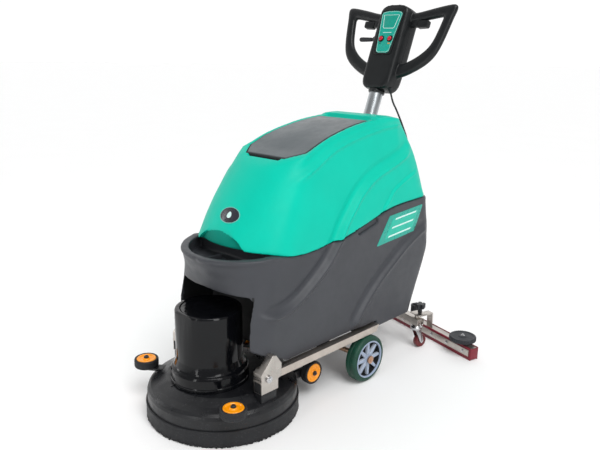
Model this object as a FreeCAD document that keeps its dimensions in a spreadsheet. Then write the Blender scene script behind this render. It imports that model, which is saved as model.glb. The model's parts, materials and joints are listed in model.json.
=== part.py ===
import FreeCAD, Part
import math
import os

import Sketcher
from FreeCAD import Placement, Rotation, Vector

# Walk-behind wet dry floor scrubber, millimetres, +Z up.
# The origin is on the floor under the centre of the brush. -Y is the front, where the brush deck is,
# +Y is the rear, where the handle and the squeegee are, and +X is the machine's left-hand side.

os.makedirs("parts", exist_ok=True)
doc = FreeCAD.newDocument("FloorScrubber")

# ---------------------------------------------------------------- driving dimensions
DIMENSIONS = {
    # brush deck
    "deck_radius": 262, "skirt_wall": 6, "skirt_low": 5, "skirt_high": 56,
    "brush_radius": 246, "bristle_length": 40, "spindle_radius": 12, "running_gap": 0.05,
    "dome_crown": 136, "dome_flat_radius": 192, "dome_wall": 5,
    "motor_y": -55, "cover_radius": 112, "cover_top": 390, "cover_foot_radius": 132,
    "pivot_y": -6, "pivot_height": 194, "pivot_bolt_radius": 8,
    # small rollers on the deck
    "roller_radius": 42.5, "roller_hub_radius": 34, "roller_width": 30, "roller_bolt_radius": 6,
    "bumper_side": 238, "bumper_y": -153, "bumper_top": 154,
    "guide_side": 168, "guide_y": 269, "guide_height": 95,
    # chassis
    "rail_inside": 205, "rail_width": 30, "rail_low": 182, "rail_height": 26,
    "rail_front": -20, "rail_rear": 575, "crossbar_width": 26, "post_y": 612, "post_top": 560,
    "wheel_y": 504, "wheel_radius": 90, "wheel_rim_radius": 72, "wheel_inside": 201, "wheel_width": 48,
    "axle_radius": 10,
    # tanks
    "tank_floor": 209, "tank_rear_floor": 180, "tank_wall": 7, "bay_front": 312,
    "arch_half_width": 183, "arch_top": 456, "arch_back": 112,
    "lid_gap": 2, "lid_thickness": 12, "lid_rear": 607, "channel_half_width": 45,
    "hinge_y": -28, "hinge_height": 585, "filler_radius": 40, "filler_y": -24,
    "recess_depth": 10, "scoop_radius": 160, "scoop_top": 641, "scoop_tilt": 26,
    "hinge_recess_half": 108, "hinge_recess_rear": 642, "hinge_recess_depth": 10,
    # column and console, measured along the column from a point on its axis
    "column_y": 807, "column_height": 1058, "column_lean": 22, "column_radius": 27,
    "column_foot": -520, "console_split": -7, "grip_thickness": 30, "console_depth": 40,
    "console_wall": 3, "panel_low": 147, "panel_high": 308, "panel_thickness": 2,
    "button_side": 21, "button_along": 202, "button_radius": 7, "trigger_thickness": 22,
    "lever_radius": 6, "lever_length": 78, "lever_side": 84, "lever_along": 216,
    "cable_radius": 3.5,
    # squeegee, measured from its swivel pin
    "swivel_y": 745, "swivel_angle": -15, "swivel_radius": 10, "lift_reach": 45, "lift_height": 125,
    "bar_reach": 290, "bar_half_length": 372, "blade_thickness": 4, "blade_height": 52,
    "channel_width": 34, "caster_side": 160, "caster_reach": 180, "caster_trail": 22,
    "caster_radius": 28, "caster_width": 22, "stud_radius": 4, "end_roller_side": 302,
    "end_roller_radius": 54, "end_roller_low": 62, "end_roller_width": 18, "port_radius": 19,
}

sheet = doc.addObject("Spreadsheet::Sheet", "Dims")
for row, (alias, value) in enumerate(DIMENSIONS.items(), start=1):
    sheet.set(f"A{row}", alias)
    sheet.set(f"B{row}", str(value))
    sheet.setAlias(f"B{row}", alias)
doc.recompute()


def dim(alias):
    """One driving dimension, read back from the sheet."""
    return float(sheet.get(alias))


# ---------------------------------------------------------------- helpers
AXIS_TURN = {
    "Z": Rotation(),
    "X": Rotation(Vector(0, 1, 0), 90),
    "-X": Rotation(Vector(0, 1, 0), -90),
    "Y": Rotation(Vector(1, 0, 0), -90),
}
finished = []


def linked(text):
    """An expression in which each word that names a dimension points at the sheet."""
    words = str(text).split()
    return " ".join("Dims." + w if w in DIMENSIONS else w for w in words)


def bind(obj, path, text):
    obj.setExpression(path, linked(text))


def place(obj, at, axis="Z"):
    """Stands an object at three bound coordinates, its own Z turned to the given axis."""
    obj.Placement = Placement(Vector(0, 0, 0), AXIS_TURN[axis])
    for letter, text in zip("xyz", at):
        bind(obj, f"Placement.Base.{letter}", text)
    return obj


def box(name, low, size):
    solid = doc.addObject("Part::Box", name)
    for side, text in zip(("Length", "Width", "Height"), size):
        bind(solid, side, text)
    return place(solid, low)


def rod(name, radius, length, at, axis="Z"):
    solid = doc.addObject("Part::Cylinder", name)
    bind(solid, "Radius", radius)
    bind(solid, "Height", length)
    return place(solid, at, axis)


def join(name, *shapes):
    whole = doc.addObject("Part::MultiFuse", name)
    whole.Shapes = list(shapes)
    return whole


def group(name, *shapes):
    """Separate solids that share one node."""
    whole = doc.addObject("Part::Compound", name)
    whole.Links = list(shapes)
    return whole


def cut(name, base, *tools):
    tool = tools[0] if len(tools) == 1 else join(name + "_cutters", *tools)
    rest = doc.addObject("Part::Cut", name)
    rest.Base = base
    rest.Tool = tool
    return rest


def mirrored(name, source):
    """The same piece on the machine's other side."""
    other = doc.addObject("Part::Mirroring", name)
    other.Source = source
    other.Normal = Vector(1, 0, 0)
    return other


def node(obj, label):
    """Marks a finished sub-part, whose label is the name of its file."""
    obj.Label = label
    finished.append(obj)
    return obj


def origin_part(body, role):
    """One of a body's own origin planes or axes."""
    return next(f for f in body.Origin.OriginFeatures if f.Role == role)


def empty_sketch(body, name, plane="XY_Plane"):
    sketch = body.newObject("Sketcher::SketchObject", name)
    sketch.AttachmentSupport = (origin_part(body, plane), [""])
    sketch.MapMode = "FlatFace"
    return sketch


def add_rings(sketch, rings):
    """Round outlines, each given as bound centre and radius."""
    for j, (across, along, radius) in enumerate(rings):
        ring = sketch.addGeometry(Part.Circle(Vector(1, 1, 0), Vector(0, 0, 1), 5), False)
        rules = (("DistanceX", -1, 1, ring, 3, 1.0, across), ("DistanceY", -1, 1, ring, 3, 1.0, along),
                 ("Radius", ring, 5.0, radius))
        for rule in rules:
            at = sketch.addConstraint(Sketcher.Constraint(*rule[:-1]))
            sketch.renameConstraint(at, f"Ring{rule[0]}{j}")
            bind(sketch, f"Constraints.Ring{rule[0]}{j}", rule[-1])
    return sketch


def outline_sketch(body, name, corners, holes=(), plane="XY_Plane"):
    """A closed outline of bound corners, and round holes given as centre and radius."""
    sketch = empty_sketch(body, name, plane)
    count = len(corners)
    rough = [Vector(100 * math.cos(math.tau * i / count), 100 * math.sin(math.tau * i / count), 0)
             for i in range(count)]
    for i, point in enumerate(rough):
        sketch.addGeometry(Part.LineSegment(point, rough[(i + 1) % count]), False)
    for i in range(count):
        sketch.addConstraint(Sketcher.Constraint("Coincident", i, 2, (i + 1) % count, 1))
    for i, corner in enumerate(corners):
        for kind, start, text in zip(("DistanceX", "DistanceY"), (rough[i].x, rough[i].y), corner):
            at = sketch.addConstraint(Sketcher.Constraint(kind, -1, 1, i, 1, start))
            sketch.renameConstraint(at, f"{kind}{i}")
            bind(sketch, f"Constraints.{kind}{i}", text)
    return add_rings(sketch, holes)


def revolved(name, profile, at=("0", "0", "0"), axis="Z"):
    """A turned piece: the profile is (radius, height) pairs about the piece's own Z."""
    body = doc.addObject("PartDesign::Body", name)
    sketch = outline_sketch(body, name + "_profile", profile, plane="XZ_Plane")
    turn = body.newObject("PartDesign::Revolution", name + "_turn")
    turn.Profile = sketch
    turn.ReferenceAxis = (sketch, ["V_Axis"])
    turn.Angle = 360
    body.Tip = turn
    return place(body, at, axis)


def padded(name, corners, thickness, holes=(), reverse=False):
    """A flat piece: an outline with its holes, padded along its own Z."""
    body = doc.addObject("PartDesign::Body", name)
    pad = body.newObject("PartDesign::Pad", name + "_pad")
    pad.Profile = outline_sketch(body, name + "_outline", corners, holes)
    bind(pad, "Length", thickness)
    pad.Reversed = reverse
    body.Tip = pad
    return body


def pocketed(body, name, corners, depth, holes=(), along_pad=True):
    """Sinks a pocket into a body from its own XY plane, upwards where the body was padded upwards."""
    pocket = body.newObject("PartDesign::Pocket", name)
    pocket.Profile = outline_sketch(body, name + "_outline", corners, holes)
    bind(pocket, "Length", depth)
    pocket.Reversed = along_pad
    body.Tip = pocket
    return body


def placed(obj, base, rotation):
    """Gives an object a placement of its own, in place of any bound one."""
    for path in [path for path, _ in obj.ExpressionEngine if "Placement" in path]:
        obj.setExpression(path, None)
    obj.Placement = Placement(base, rotation)
    return obj


def shape_feature(name, shape):
    solid = doc.addObject("Part::Feature", name)
    solid.Shape = shape
    return solid


# ---------------------------------------------------------------- brush deck
# The dome, the skirt and the brush are turned about the brush's axis.
DOME_OUTSIDE = [("deck_radius", "skirt_high"), ("deck_radius - 5", "skirt_high + 42"),
                ("deck_radius - 14", "skirt_high + 54"), ("deck_radius - 27", "dome_crown - 21"),
                ("dome_flat_radius", "dome_crown")]


def dome():
    inside = [("30", "dome_crown"), ("30", "dome_crown - dome_wall"),
              ("dome_flat_radius - 2", "dome_crown - dome_wall"), ("deck_radius - 29", "dome_crown - 27"),
              ("deck_radius - 12", "skirt_high + 40"), ("deck_radius - 6", "skirt_high")]
    shell = revolved("dome_shell", DOME_OUTSIDE + inside)
    # each foot lifts a deck bracket clear of the dome's shoulder
    feet = [box(f"foot_{side}", (low, "-35", "skirt_high + 56"), ("34", "68", "35"))
            for side, low in (("left", "203"), ("right", "-237"))]
    return node(join("deck_cover", shell, *feet), "deck_cover")


def envelope():
    """The dome's outside as a full solid, to trim the roller arms that stand against it."""
    return revolved("dome_envelope", DOME_OUTSIDE + [("0", "dome_crown"), ("0", "skirt_high")])


def deck_parts():
    dome()
    node(revolved("splash_skirt", [("deck_radius", "skirt_low"), ("deck_radius", "skirt_high"),
                                   ("deck_radius - skirt_wall", "skirt_high"),
                                   ("deck_radius - skirt_wall", "skirt_low")]), "splash_skirt")
    node(revolved("brush_disc", [("spindle_radius + running_gap", "bristle_length"),
                                 ("brush_radius + 6", "bristle_length"),
                                 ("brush_radius + 6", "bristle_length + 12"),
                                 ("60", "bristle_length + 16"), ("40", "bristle_length + 56"),
                                 ("spindle_radius + running_gap", "bristle_length + 56")]), "brush_disc")
    node(rod("scrub_brush", "brush_radius", "bristle_length", ("0", "0", "0")), "scrub_brush")
    cover = revolved("cover_turned",
                     [("cover_foot_radius", "dome_crown"), ("cover_foot_radius", "dome_crown + 54"),
                      ("cover_foot_radius - 5", "dome_crown + 60"), ("cover_radius + 6", "dome_crown + 70"),
                      ("cover_radius", "dome_crown + 84"), ("cover_radius", "cover_top - 7"),
                      ("cover_radius - 7", "cover_top"), ("0", "cover_top"), ("0", "cover_top - 6"),
                      ("cover_radius - 17", "cover_top - 6"), ("cover_radius - 17", "dome_crown + 70"),
                      ("cover_foot_radius - 12", "dome_crown + 50"),
                      ("cover_foot_radius - 12", "dome_crown")],
                     ("0", "motor_y", "0"))
    # a flat face is cut on the cover's front, fading out on the way down
    face = box("front_face_cutter", ("-80", "motor_y - cover_radius - 30", "cover_top - 90"),
               ("160", "30", "120"))
    face.Placement.Rotation = Rotation(Vector(1, 0, 0), -6.5)
    node(cut("motor_cover", cover, face), "motor_cover")
    motor = rod("motor_can", "cover_radius - 32", "cover_top - dome_crown - 44",
                ("0", "motor_y", "dome_crown + 14"))
    gear_case = rod("gear_case", "cover_radius - 6", "14", ("0", "motor_y", "dome_crown"))
    spindle = rod("spindle", "spindle_radius", "dome_crown - 45", ("0", "0", "45"))
    node(join("drive_motor", motor, gear_case, spindle), "drive_motor")


def deck_bracket():
    """A folded steel saddle: two cheeks and a sloping web over the rail's front end."""
    cheek = [("-37", "147"), ("-37", "216"), ("14", "269"), ("29", "264"), ("52", "232"), ("52", "185"),
             ("37", "182"), ("37", "147")]
    hollow = [("-34", "140"), ("-34", "215"), ("16", "264"), ("28", "259"), ("80", "226"), ("80", "140")]
    bore = [("pivot_y", "pivot_height", "pivot_bolt_radius + running_gap")]
    side_on = Rotation(Vector(1, 1, 1), 120)
    low = dim("rail_inside") - 4
    outer = placed(padded("bracket_cheeks", cheek, "rail_width + 8", bore), Vector(low, 0, 0), side_on)
    inner = placed(padded("bracket_hollow", hollow, "rail_width + 2"), Vector(low + 3, 0, 0), side_on)
    # the inner cheek stops below the tank's wing
    relief = box("bracket_relief", ("rail_inside - 10", "-50", "pivot_height + 34"), ("18", "120", "90"))
    left = node(cut("deck_bracket_left", outer, inner, relief), "deck_bracket_left")
    node(mirrored("deck_bracket_right", left), "deck_bracket_right")


def small_roller(name, at, axis):
    """An orange hub and its rubber tyre, both turned about the roller's axis."""
    hub = [("roller_bolt_radius + running_gap", "2"), ("roller_hub_radius", "2"),
           ("roller_hub_radius", "roller_width - 2"), ("roller_hub_radius - 3", "roller_width"),
           ("roller_hub_radius - 10", "roller_width"), ("roller_hub_radius - 13", "roller_width - 4"),
           ("12", "roller_width - 4"), ("11", "roller_width"),
           ("roller_bolt_radius + running_gap", "roller_width")]
    tyre = [("roller_hub_radius", "2"), ("roller_hub_radius + 4", "0"), ("roller_radius - 4", "0"),
            ("roller_radius", "4"), ("roller_radius", "roller_width - 4"),
            ("roller_radius - 4", "roller_width"),
            ("roller_hub_radius + 4", "roller_width"), ("roller_hub_radius", "roller_width - 2")]
    node(revolved(name + "_hub", hub, at, axis), name + "_hub")
    node(revolved(name + "_tyre", tyre, at, axis), name + "_tyre")


def roller_set():
    bumper_low = "bumper_top - roller_width"
    guide_inside = "guide_side - 14"
    sides = (("left", "bumper_side", guide_inside, "X"),
             ("right", "0 - bumper_side", "14 - guide_side", "-X"))
    bolts = []
    arms = []
    trim = envelope()
    for side, bumper_x, guide_x, axis in sides:
        small_roller("bumper_" + side, (bumper_x, "bumper_y", bumper_low), "Z")
        small_roller("guide_" + side, (guide_x, "guide_y", "guide_height"), axis)
        stem = rod("bumper_stem_" + side, "roller_bolt_radius", "roller_width + 8.3",
                   (bumper_x, "bumper_y", bumper_low + " - 8"))
        head = rod("bumper_head_" + side, "roller_bolt_radius + 3", "4",
                   (bumper_x, "bumper_y", "bumper_top + 0.3"))
        bolts.append(join("bumper_bolt_" + side, stem, head))
        sign = "" if axis == "X" else "0 - "
        stem = rod("guide_stem_" + side, "roller_bolt_radius", "roller_width + 12.3",
                   (sign + "( " + "guide_side - 26 )", "guide_y", "guide_height"), axis)
        head = rod("guide_head_" + side, "roller_bolt_radius + 3", "4",
                   (sign + "( guide_side - 14 + roller_width + 0.3 )", "guide_y", "guide_height"), axis)
        bolts.append(join("guide_bolt_" + side, stem, head))
        # a flat arm reaches out under each bumper roller, along the radius through it
        bearing = math.degrees(math.atan2(dim("bumper_y"), dim("bumper_side")))
        reach = math.hypot(dim("bumper_side"), dim("bumper_y"))
        arm_low = dim("bumper_top") - dim("roller_width") - 9
        flat = Part.makeBox(reach + 14 - 205, 36, 8.5, Vector(205, -18, arm_low))
        flat = flat.cut(Part.makeCylinder(dim("roller_bolt_radius"), 20, Vector(reach, 0, 110)))
        flat.rotate(Vector(0, 0, 0), Vector(0, 0, 1), bearing if axis == "X" else 180 - bearing)
        arms.append(cut("bumper_arm_" + side, shape_feature("bumper_flat_" + side, flat), trim))
        block = box("guide_block_" + side,
                    ("guide_side - 30" if axis == "X" else "16 - guide_side", "200", "guide_height - 14"),
                    ("14", "guide_y - 186", "28"))
        hole = rod("guide_hole_" + side, "roller_bolt_radius", "40",
                   (sign + "( guide_side - 40 )", "guide_y", "guide_height"), axis)
        arms.append(cut("guide_arm_" + side, block, trim, hole))
    node(group("roller_arms", *arms), "roller_arms")
    node(group("roller_bolts", *bolts), "roller_bolts")


# ---------------------------------------------------------------- chassis
def chassis_parts():
    rails = []
    bolts = []
    for side, low in (("left", "rail_inside"), ("right", "0 - rail_inside - rail_width")):
        tube = box("rail_tube_" + side, (low, "rail_front", "rail_low"),
                   ("rail_width", "rail_rear - rail_front", "rail_height"))
        bore = box("rail_bore_" + side, (low + " + 2.5", "rail_front - 5", "rail_low + 2.5"),
                   ("rail_width - 5", "rail_rear - rail_front + 10", "rail_height - 5"))
        hole = rod("rail_hole_" + side, "pivot_bolt_radius", "rail_width + 10",
                   (low + " - 5", "pivot_y", "pivot_height"), "X")
        rails.append(cut("rail_" + side, tube, bore, hole))
        shank = rod("pivot_shank_" + side, "pivot_bolt_radius", "rail_width + 16",
                    (low + " - 8", "pivot_y", "pivot_height"), "X")
        outer = "rail_inside + rail_width + 4.5" if side == "left" else "0 - rail_inside - rail_width - 10.5"
        head = rod("pivot_head_" + side, "pivot_bolt_radius + 4", "6",
                   (outer, "pivot_y", "pivot_height"), "X")
        bolts.append(join("pivot_bolt_" + side, shank, head))
    node(group("chassis_rails", *rails), "chassis_rails")
    node(group("deck_pivot_bolts", *bolts), "deck_pivot_bolts")
    bars = [box(f"crossbar_{i}", ("0 - rail_inside", middle + " - crossbar_width / 2", "rail_low"),
                ("2 * rail_inside", "crossbar_width", "rail_height"))
            for i, middle in enumerate(("bay_front", "wheel_y", "post_y - 50"), start=1)]
    spine = box("spine", ("-40", "wheel_y - 13", "tank_rear_floor - 14"),
                ("80", "swivel_y - wheel_y + 45", "12"))
    riser = box("spine_riser", ("-40", "wheel_y - 13", "tank_rear_floor - 3"),
                ("80", "96", "rail_low - tank_rear_floor + 4"))
    seat = box("post_seat", ("-40", "post_y - 24", "tank_rear_floor - 3"), ("80", "48", "3"))
    node(join("frame_crossbars", *bars, spine, riser, seat), "frame_crossbars")
    plates = [cut("axle_plate_" + side,
                  box("axle_slab_" + side, (low, "wheel_y - 32", "wheel_radius - 22"),
                      ("8", "64", "rail_low - wheel_radius + 22")),
                  rod("axle_hole_" + side, "axle_radius", "30",
                      (low + " - 10", "wheel_y", "wheel_radius"), "X"))
              for side, low in (("left", "wheel_inside - 15"), ("right", "7 - wheel_inside"))]
    node(group("axle_brackets", *plates), "axle_brackets")
    axle = rod("axle_bar", "axle_radius", "2 * ( wheel_inside + wheel_width + 4 )",
               ("0 - wheel_inside - wheel_width - 4", "wheel_y", "wheel_radius"), "X")
    nuts = [rod(name, "axle_radius + 5", "7", (low, "wheel_y", "wheel_radius"), "X")
            for name, low in (("nut_left", "wheel_inside + wheel_width + 0.5"),
                              ("nut_right", "0 - wheel_inside - wheel_width - 7.5"))]
    node(join("main_axle", axle, *nuts), "main_axle")


def main_wheel():
    """A spoked plastic rim with a rubber tyre; its eight windows are one pocket and a polar pattern."""
    rim = revolved("wheel_rim_left",
                   [("axle_radius + running_gap", "2"), ("22", "2"), ("24", "18"), ("60", "18"), ("62", "2"),
                    ("wheel_rim_radius", "0"), ("wheel_rim_radius", "wheel_width"), ("62", "wheel_width - 2"),
                    ("60", "wheel_width - 12"), ("24", "wheel_width - 12"), ("22", "wheel_width"),
                    ("axle_radius + running_gap", "wheel_width")],
                   ("wheel_inside", "wheel_y", "wheel_radius"), "X")
    window = rim.newObject("PartDesign::Pocket", "rim_window")
    window.Profile = outline_sketch(rim, "rim_window_outline",
                                    [("27", "-6"), ("55", "-15"), ("57", "0"), ("55", "15"), ("27", "6")])
    bind(window, "Length", "wheel_width")
    window.Reversed = True
    pattern = rim.newObject("PartDesign::PolarPattern", "rim_windows")
    pattern.Originals = [window]
    pattern.Axis = (origin_part(rim, "Z_Axis"), [""])
    pattern.Angle = 360
    pattern.Occurrences = 8
    rim.Tip = pattern
    node(rim, "wheel_rim_left")
    tyre = revolved("wheel_tyre_left",
                    [("wheel_rim_radius", "0"), ("wheel_rim_radius + 6", "0"), ("wheel_radius - 4", "3"),
                     ("wheel_radius", "9"), ("wheel_radius", "wheel_width - 9"),
                     ("wheel_radius - 4", "wheel_width - 3"),
                     ("wheel_rim_radius + 6", "wheel_width"), ("wheel_rim_radius", "wheel_width")],
                    ("wheel_inside", "wheel_y", "wheel_radius"), "X")
    node(tyre, "wheel_tyre_left")
    node(mirrored("wheel_rim_right", rim), "wheel_rim_right")
    node(mirrored("wheel_tyre_right", tyre), "wheel_tyre_right")


# ---------------------------------------------------------------- tanks
# A level section of either tank is a rounded nose, straight sides and a rounded rear.
# Each row is: height, half width, front, nose length, nose bluntness, rear, rear corner radius.
SOLUTION_SECTIONS = (
    (150, 204, -66, 100, 2.6, 846, 75), (300, 207, -72, 95, 2.8, 898, 68),
    (370, 208, -70, 95, 2.7, 919, 60), (455, 208, -60, 115, 2.6, 946, 60),
    (510, 208, -76, 150, 2.2, 945, 58), (545, 208, -97, 185, 2.05, 940, 56),
    (580, 208, -104, 200, 2.0, 930, 55), (665, 206, -104, 205, 2.0, 916, 52))
RECOVERY_SECTIONS = (
    (550, 207, -48, 192, 2.0, 936, 55), (595, 205, -30, 180, 2.0, 926, 55),
    (650, 200, 2, 157, 2.0, 915, 50), (712, 191, 42, 135, 2.0, 897, 46),
    (776, 181, 92, 112, 2.0, 880, 42), (825, 171, 136, 92, 2.0, 866, 40),
    (865, 162, 172, 75, 2.0, 848, 40), (912, 152, 205, 62, 2.0, 822, 38),
    (995, 138, 262, 55, 2.0, 772, 34))
# The seam between the tanks and the top of the recovery tank, seen from the side, as (y, z).
SEAM = ((-140, 594), (-30, 592), (50, 583), (110, 570), (171, 563), (265, 566), (351, 580), (449, 597),
        (572, 625), (640, 641), (736, 649), (858, 652), (1000, 654))
TOP = ((100, 800), (160, 846), (200, 866), (253, 882), (323, 910), (417, 937), (516, 956), (620, 967),
       (731, 968), (800, 960), (960, 925))
RIM = ((-140, 570), (-60, 575), (20, 579), (60, 580))


def section(row, inset):
    """The wire of one level section, drawn inwards by inset."""
    height, half, front, nose, blunt, rear, corner = row
    half, front, nose, rear, corner = half - inset, front + inset, nose, rear - inset, corner - inset / 2
    steps = 12
    nose_points = []
    for i in range(steps + 1):
        turn = math.pi * i / steps
        across = -math.copysign(abs(math.cos(turn)) ** (2 / blunt), math.cos(turn)) * half
        ahead = abs(math.sin(turn)) ** (2 / blunt) * nose
        nose_points.append(Vector(across, front + nose - ahead, height))
    curve = Part.BSplineCurve()
    curve.interpolate(nose_points)
    flank, back = Vector(half, rear - corner, height), Vector(half - corner, rear, height)
    bend = Vector(half - corner * (1 - math.sqrt(0.5)), rear - corner * (1 - math.sqrt(0.5)), height)

    def flip(point):
        return Vector(-point.x, point.y, point.z)

    edges = [curve.toShape(), Part.makeLine(nose_points[-1], flank), Part.Arc(flank, bend, back).toShape(),
             Part.makeLine(back, flip(back)), Part.Arc(flip(back), flip(bend), flip(flank)).toShape(),
             Part.makeLine(flip(flank), nose_points[0])]
    return Part.Wire(edges)


def loft(sections, inset=0.0):
    return Part.makeLoft([section(row, inset) for row in sections], True, True)


def side_prism(points, half_width, curved=None):
    """A prism across the machine. Its side outline is curved through `curved` and straight elsewhere."""
    start = [Vector(-half_width, y, z) for y, z in points]
    edges = []
    if curved:
        line = Part.BSplineCurve()
        line.interpolate([Vector(-half_width, y, z) for y, z in curved])
        edges.append(line.toShape())
        start = [edges[0].Vertexes[-1].Point] + start + [edges[0].Vertexes[0].Point]
    else:
        start.append(start[0])
    edges += [Part.makeLine(a, b) for a, b in zip(start, start[1:])]
    return Part.Face(Part.Wire(edges)).extrude(Vector(2 * half_width, 0, 0))


def raised(points, step):
    return [(y, z + step) for y, z in points]


def block(low, high):
    return Part.makeBox(*[b - a for a, b in zip(low, high)], Vector(*low))


# The finger recess and the wall around it, seen from the side as (y, z); both run up past the seam.
RECESS = ((455, 577), (571, 603), (566, 700), (433, 700))
RECESS_WALL = ((448, 567), (580, 597), (575, 700), (424, 700))


def solution_tank():
    wall = dim("tank_wall")
    outside = loft(SOLUTION_SECTIONS)
    top = raised(RIM + SEAM[3:], -0.5)
    floor_line = [(1000, dim("tank_rear_floor")), (600, dim("tank_rear_floor")), (590, dim("tank_floor")),
                  (110, dim("tank_floor")), (-4, 262), (-75, 300), (-140, 300)]
    limits = side_prism(floor_line, 260, top)
    tank = outside.common(limits)
    half = dim("arch_half_width")
    arch = block((-half, -200, 100), (half, dim("arch_back"), dim("arch_top")))
    arch_edges = [e for e in arch.Edges
                  if abs(e.BoundBox.ZMin - dim("arch_top")) < 1 and e.BoundBox.YLength > 100]
    tank = tank.cut(arch.makeFillet(24, arch_edges))
    # the battery bay is open at the top, except over the vacuum motor at its rear
    inside = loft(SOLUTION_SECTIONS, wall)
    bay = inside.common(block((-260, dim("bay_front"), dim("tank_floor") + wall), (260, 1000, 700)))
    seam_low = side_prism([(1000, 150), (-140, 150)], 270, raised(SEAM, -12))
    roof = block((-260, 672, 500), (260, 1000, 800)).cut(seam_low)
    tank = tank.cut(bay.cut(roof))
    chamber = inside.common(block((-190, -120, dim("tank_floor") + wall),
                                  (190, dim("bay_front") - wall, 520)))
    guard = block((-260, -200, 100), (260, dim("arch_back") + wall, dim("arch_top") + wall))
    tank = tank.cut(chamber.cut(guard))
    # the fill bowl in the nose, with the filler neck through its floor
    bowl = loft(SOLUTION_SECTIONS, 20).common(block((-260, -200, 532), (260, 62, 700)))
    tank = tank.cut(bowl)
    neck = Part.makeCylinder(dim("filler_radius"), 60, Vector(0, dim("filler_y"), 500))
    tank = tank.cut(neck)
    # a finger recess under the seam on each side, to lift the recovery tank, with a wall behind it
    depth = dim("recess_depth")
    recess_wall = outside.common(side_prism(RECESS_WALL, 260)).common(limits)
    tank = tank.fuse(recess_wall.cut(loft(SOLUTION_SECTIONS, depth + wall)))
    recess = outside.common(side_prism(RECESS, 260)).cut(loft(SOLUTION_SECTIONS, depth))
    tank = tank.cut(recess)
    post = block((-30, dim("post_y") - 26, 150), (30, dim("post_y") + 26, 240))
    tank = tank.cut(post)
    node(shape_feature("solution_tank", tank), "solution_tank")


def lid_plan(grow):
    """The lid's outline seen from above, as a tall prism."""
    rear, wide, narrow, front = dim("lid_rear"), 138 + grow, 119 + grow, 206 - grow
    corners = [Vector(x, y, 700) for x, y in
               ((-narrow, rear + grow), (-wide, 330), (-wide, 262), (-96 - grow, front), (96 + grow, front),
                (wide, 262), (wide, 330), (narrow, rear + grow))]
    return Part.Face(Part.makePolygon(corners + corners[:1])).extrude(Vector(0, 0, 400))


def top_band(upper, lower):
    """The layer between two offsets of the tank's top line."""
    high = side_prism([(960, 500), (100, 500)], 200, raised(TOP, upper))
    return high.cut(side_prism([(960, 400), (100, 400)], 220, raised(TOP, lower)))


def column_line(along, out):
    """A point of the column's plane, (y, z), from distances along the column and out towards the front."""
    lean = math.radians(dim("column_lean"))
    return (dim("column_y") + along * math.sin(lean) - out * math.cos(lean),
            dim("column_height") + along * math.cos(lean) + out * math.sin(lean))


def recovery_tank():
    wall = dim("tank_wall")
    gap = dim("lid_gap")
    outside = loft(RECOVERY_SECTIONS)
    under_top = ((-140, 800),) + TOP[1:-1] + ((1000, 915),)
    body = outside.common(side_prism([(1000, 300), (-140, 300)], 260, under_top))
    body = body.cut(side_prism([(1000, 300), (-140, 300)], 280, raised(SEAM, 0.5)))
    front_wall = [column_line(-560, 40), column_line(20, 40)]
    slot_line = front_wall + [(1100, 1060), (1100, 500)]
    half = dim("channel_half_width")
    inner_line = [column_line(-560, 40 + wall), column_line(20, 40 + wall), (1100, 1060), (1100, 500)]
    ceiling = ((100, 790),) + tuple(raised(TOP[1:-1], -22)) + ((1000, 890),)
    cavity = loft(RECOVERY_SECTIONS, wall).common(
        side_prism([(1000, 300), (40, 300), (40, 740)], 260, ceiling))
    cavity = cavity.cut(side_prism([(1000, 300), (-140, 300)], 280, raised(SEAM, wall)))
    cavity = cavity.cut(side_prism(inner_line, half + wall))
    body = body.cut(side_prism(slot_line, half)).cut(cavity)
    body = body.cut(lid_plan(gap).common(top_band(40, -dim("lid_thickness") - 2 - gap)))
    body = body.cut(lid_plan(-12).common(top_band(0, -60)))
    # the hinge recess behind the lid
    recess = block((-dim("hinge_recess_half"), 595, 700),
                   (dim("hinge_recess_half"), dim("hinge_recess_rear"), 1100))
    body = body.cut(recess.common(top_band(40, -dim("hinge_recess_depth"))))
    # an arched scoop in the nose over the fill bowl, deepest at the seam
    radius, top = dim("scoop_radius"), dim("scoop_top")
    arch = Part.makeCylinder(radius, 160, Vector(0, -100, top - radius), Vector(0, 1, 0))
    scoop_face = loft(RECOVERY_SECTIONS)
    scoop_face.rotate(Vector(0, 5, top), Vector(1, 0, 0), dim("scoop_tilt"))
    body = body.cut(arch.common(outside).cut(scoop_face))
    node(shape_feature("recovery_tank", body), "recovery_tank")
    lid = lid_plan(0).common(top_band(-2, -2 - dim("lid_thickness")))
    node(shape_feature("tank_lid", lid), "tank_lid")


def tank_contents():
    post_box = box("post_box", ("-20", "post_y - 20", "tank_rear_floor + 1"),
                   ("40", "40", "post_top - tank_rear_floor - 1"))
    cheeks = [box(f"post_cheek_{i}", (low, "post_y - 30", "post_top - 30"), ("7", "60", "92"))
              for i, low in enumerate(("29", "-36"))]
    shelf = box("post_shelf", ("-36", "post_y - 30", "post_top - 8"), ("72", "60", "8"))
    node(join("column_post", post_box, *cheeks, shelf), "column_post")
    cells = [box(f"battery_{i}", (low, "bay_front + 12", "tank_floor + tank_wall"), ("172", "262", "215"))
             for i, low in enumerate(("6", "-178"))]
    node(group("batteries", *cells), "batteries")
    can = rod("vacuum_can", "72", "130", ("105", "745", "tank_floor + tank_wall"))
    horn = rod("vacuum_horn", "26", "50", ("105", "745", "tank_floor + tank_wall + 130"))
    node(join("vacuum_motor", can, horn), "vacuum_motor")
    cap = revolved("filler_cap", [("0", "533"), ("filler_radius + 5", "533"), ("filler_radius + 5", "541"),
                                  ("filler_radius - 4", "545"), ("18", "545"), ("16", "560"), ("0", "560")],
                   ("0", "filler_y", "0"))
    node(cap, "filler_cap")


# ---------------------------------------------------------------- column and console
def console_turn():
    """Local X across, local Y up the column, local Z out of the control panel."""
    return Rotation(Vector(1, 0, 0), 90 - dim("column_lean"))


def console_point(across, along, out):
    y, z = column_line(along, out)
    return Vector(across, y, z)


def console_place(obj, out):
    return placed(obj, console_point(0, 0, out), console_turn())


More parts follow.
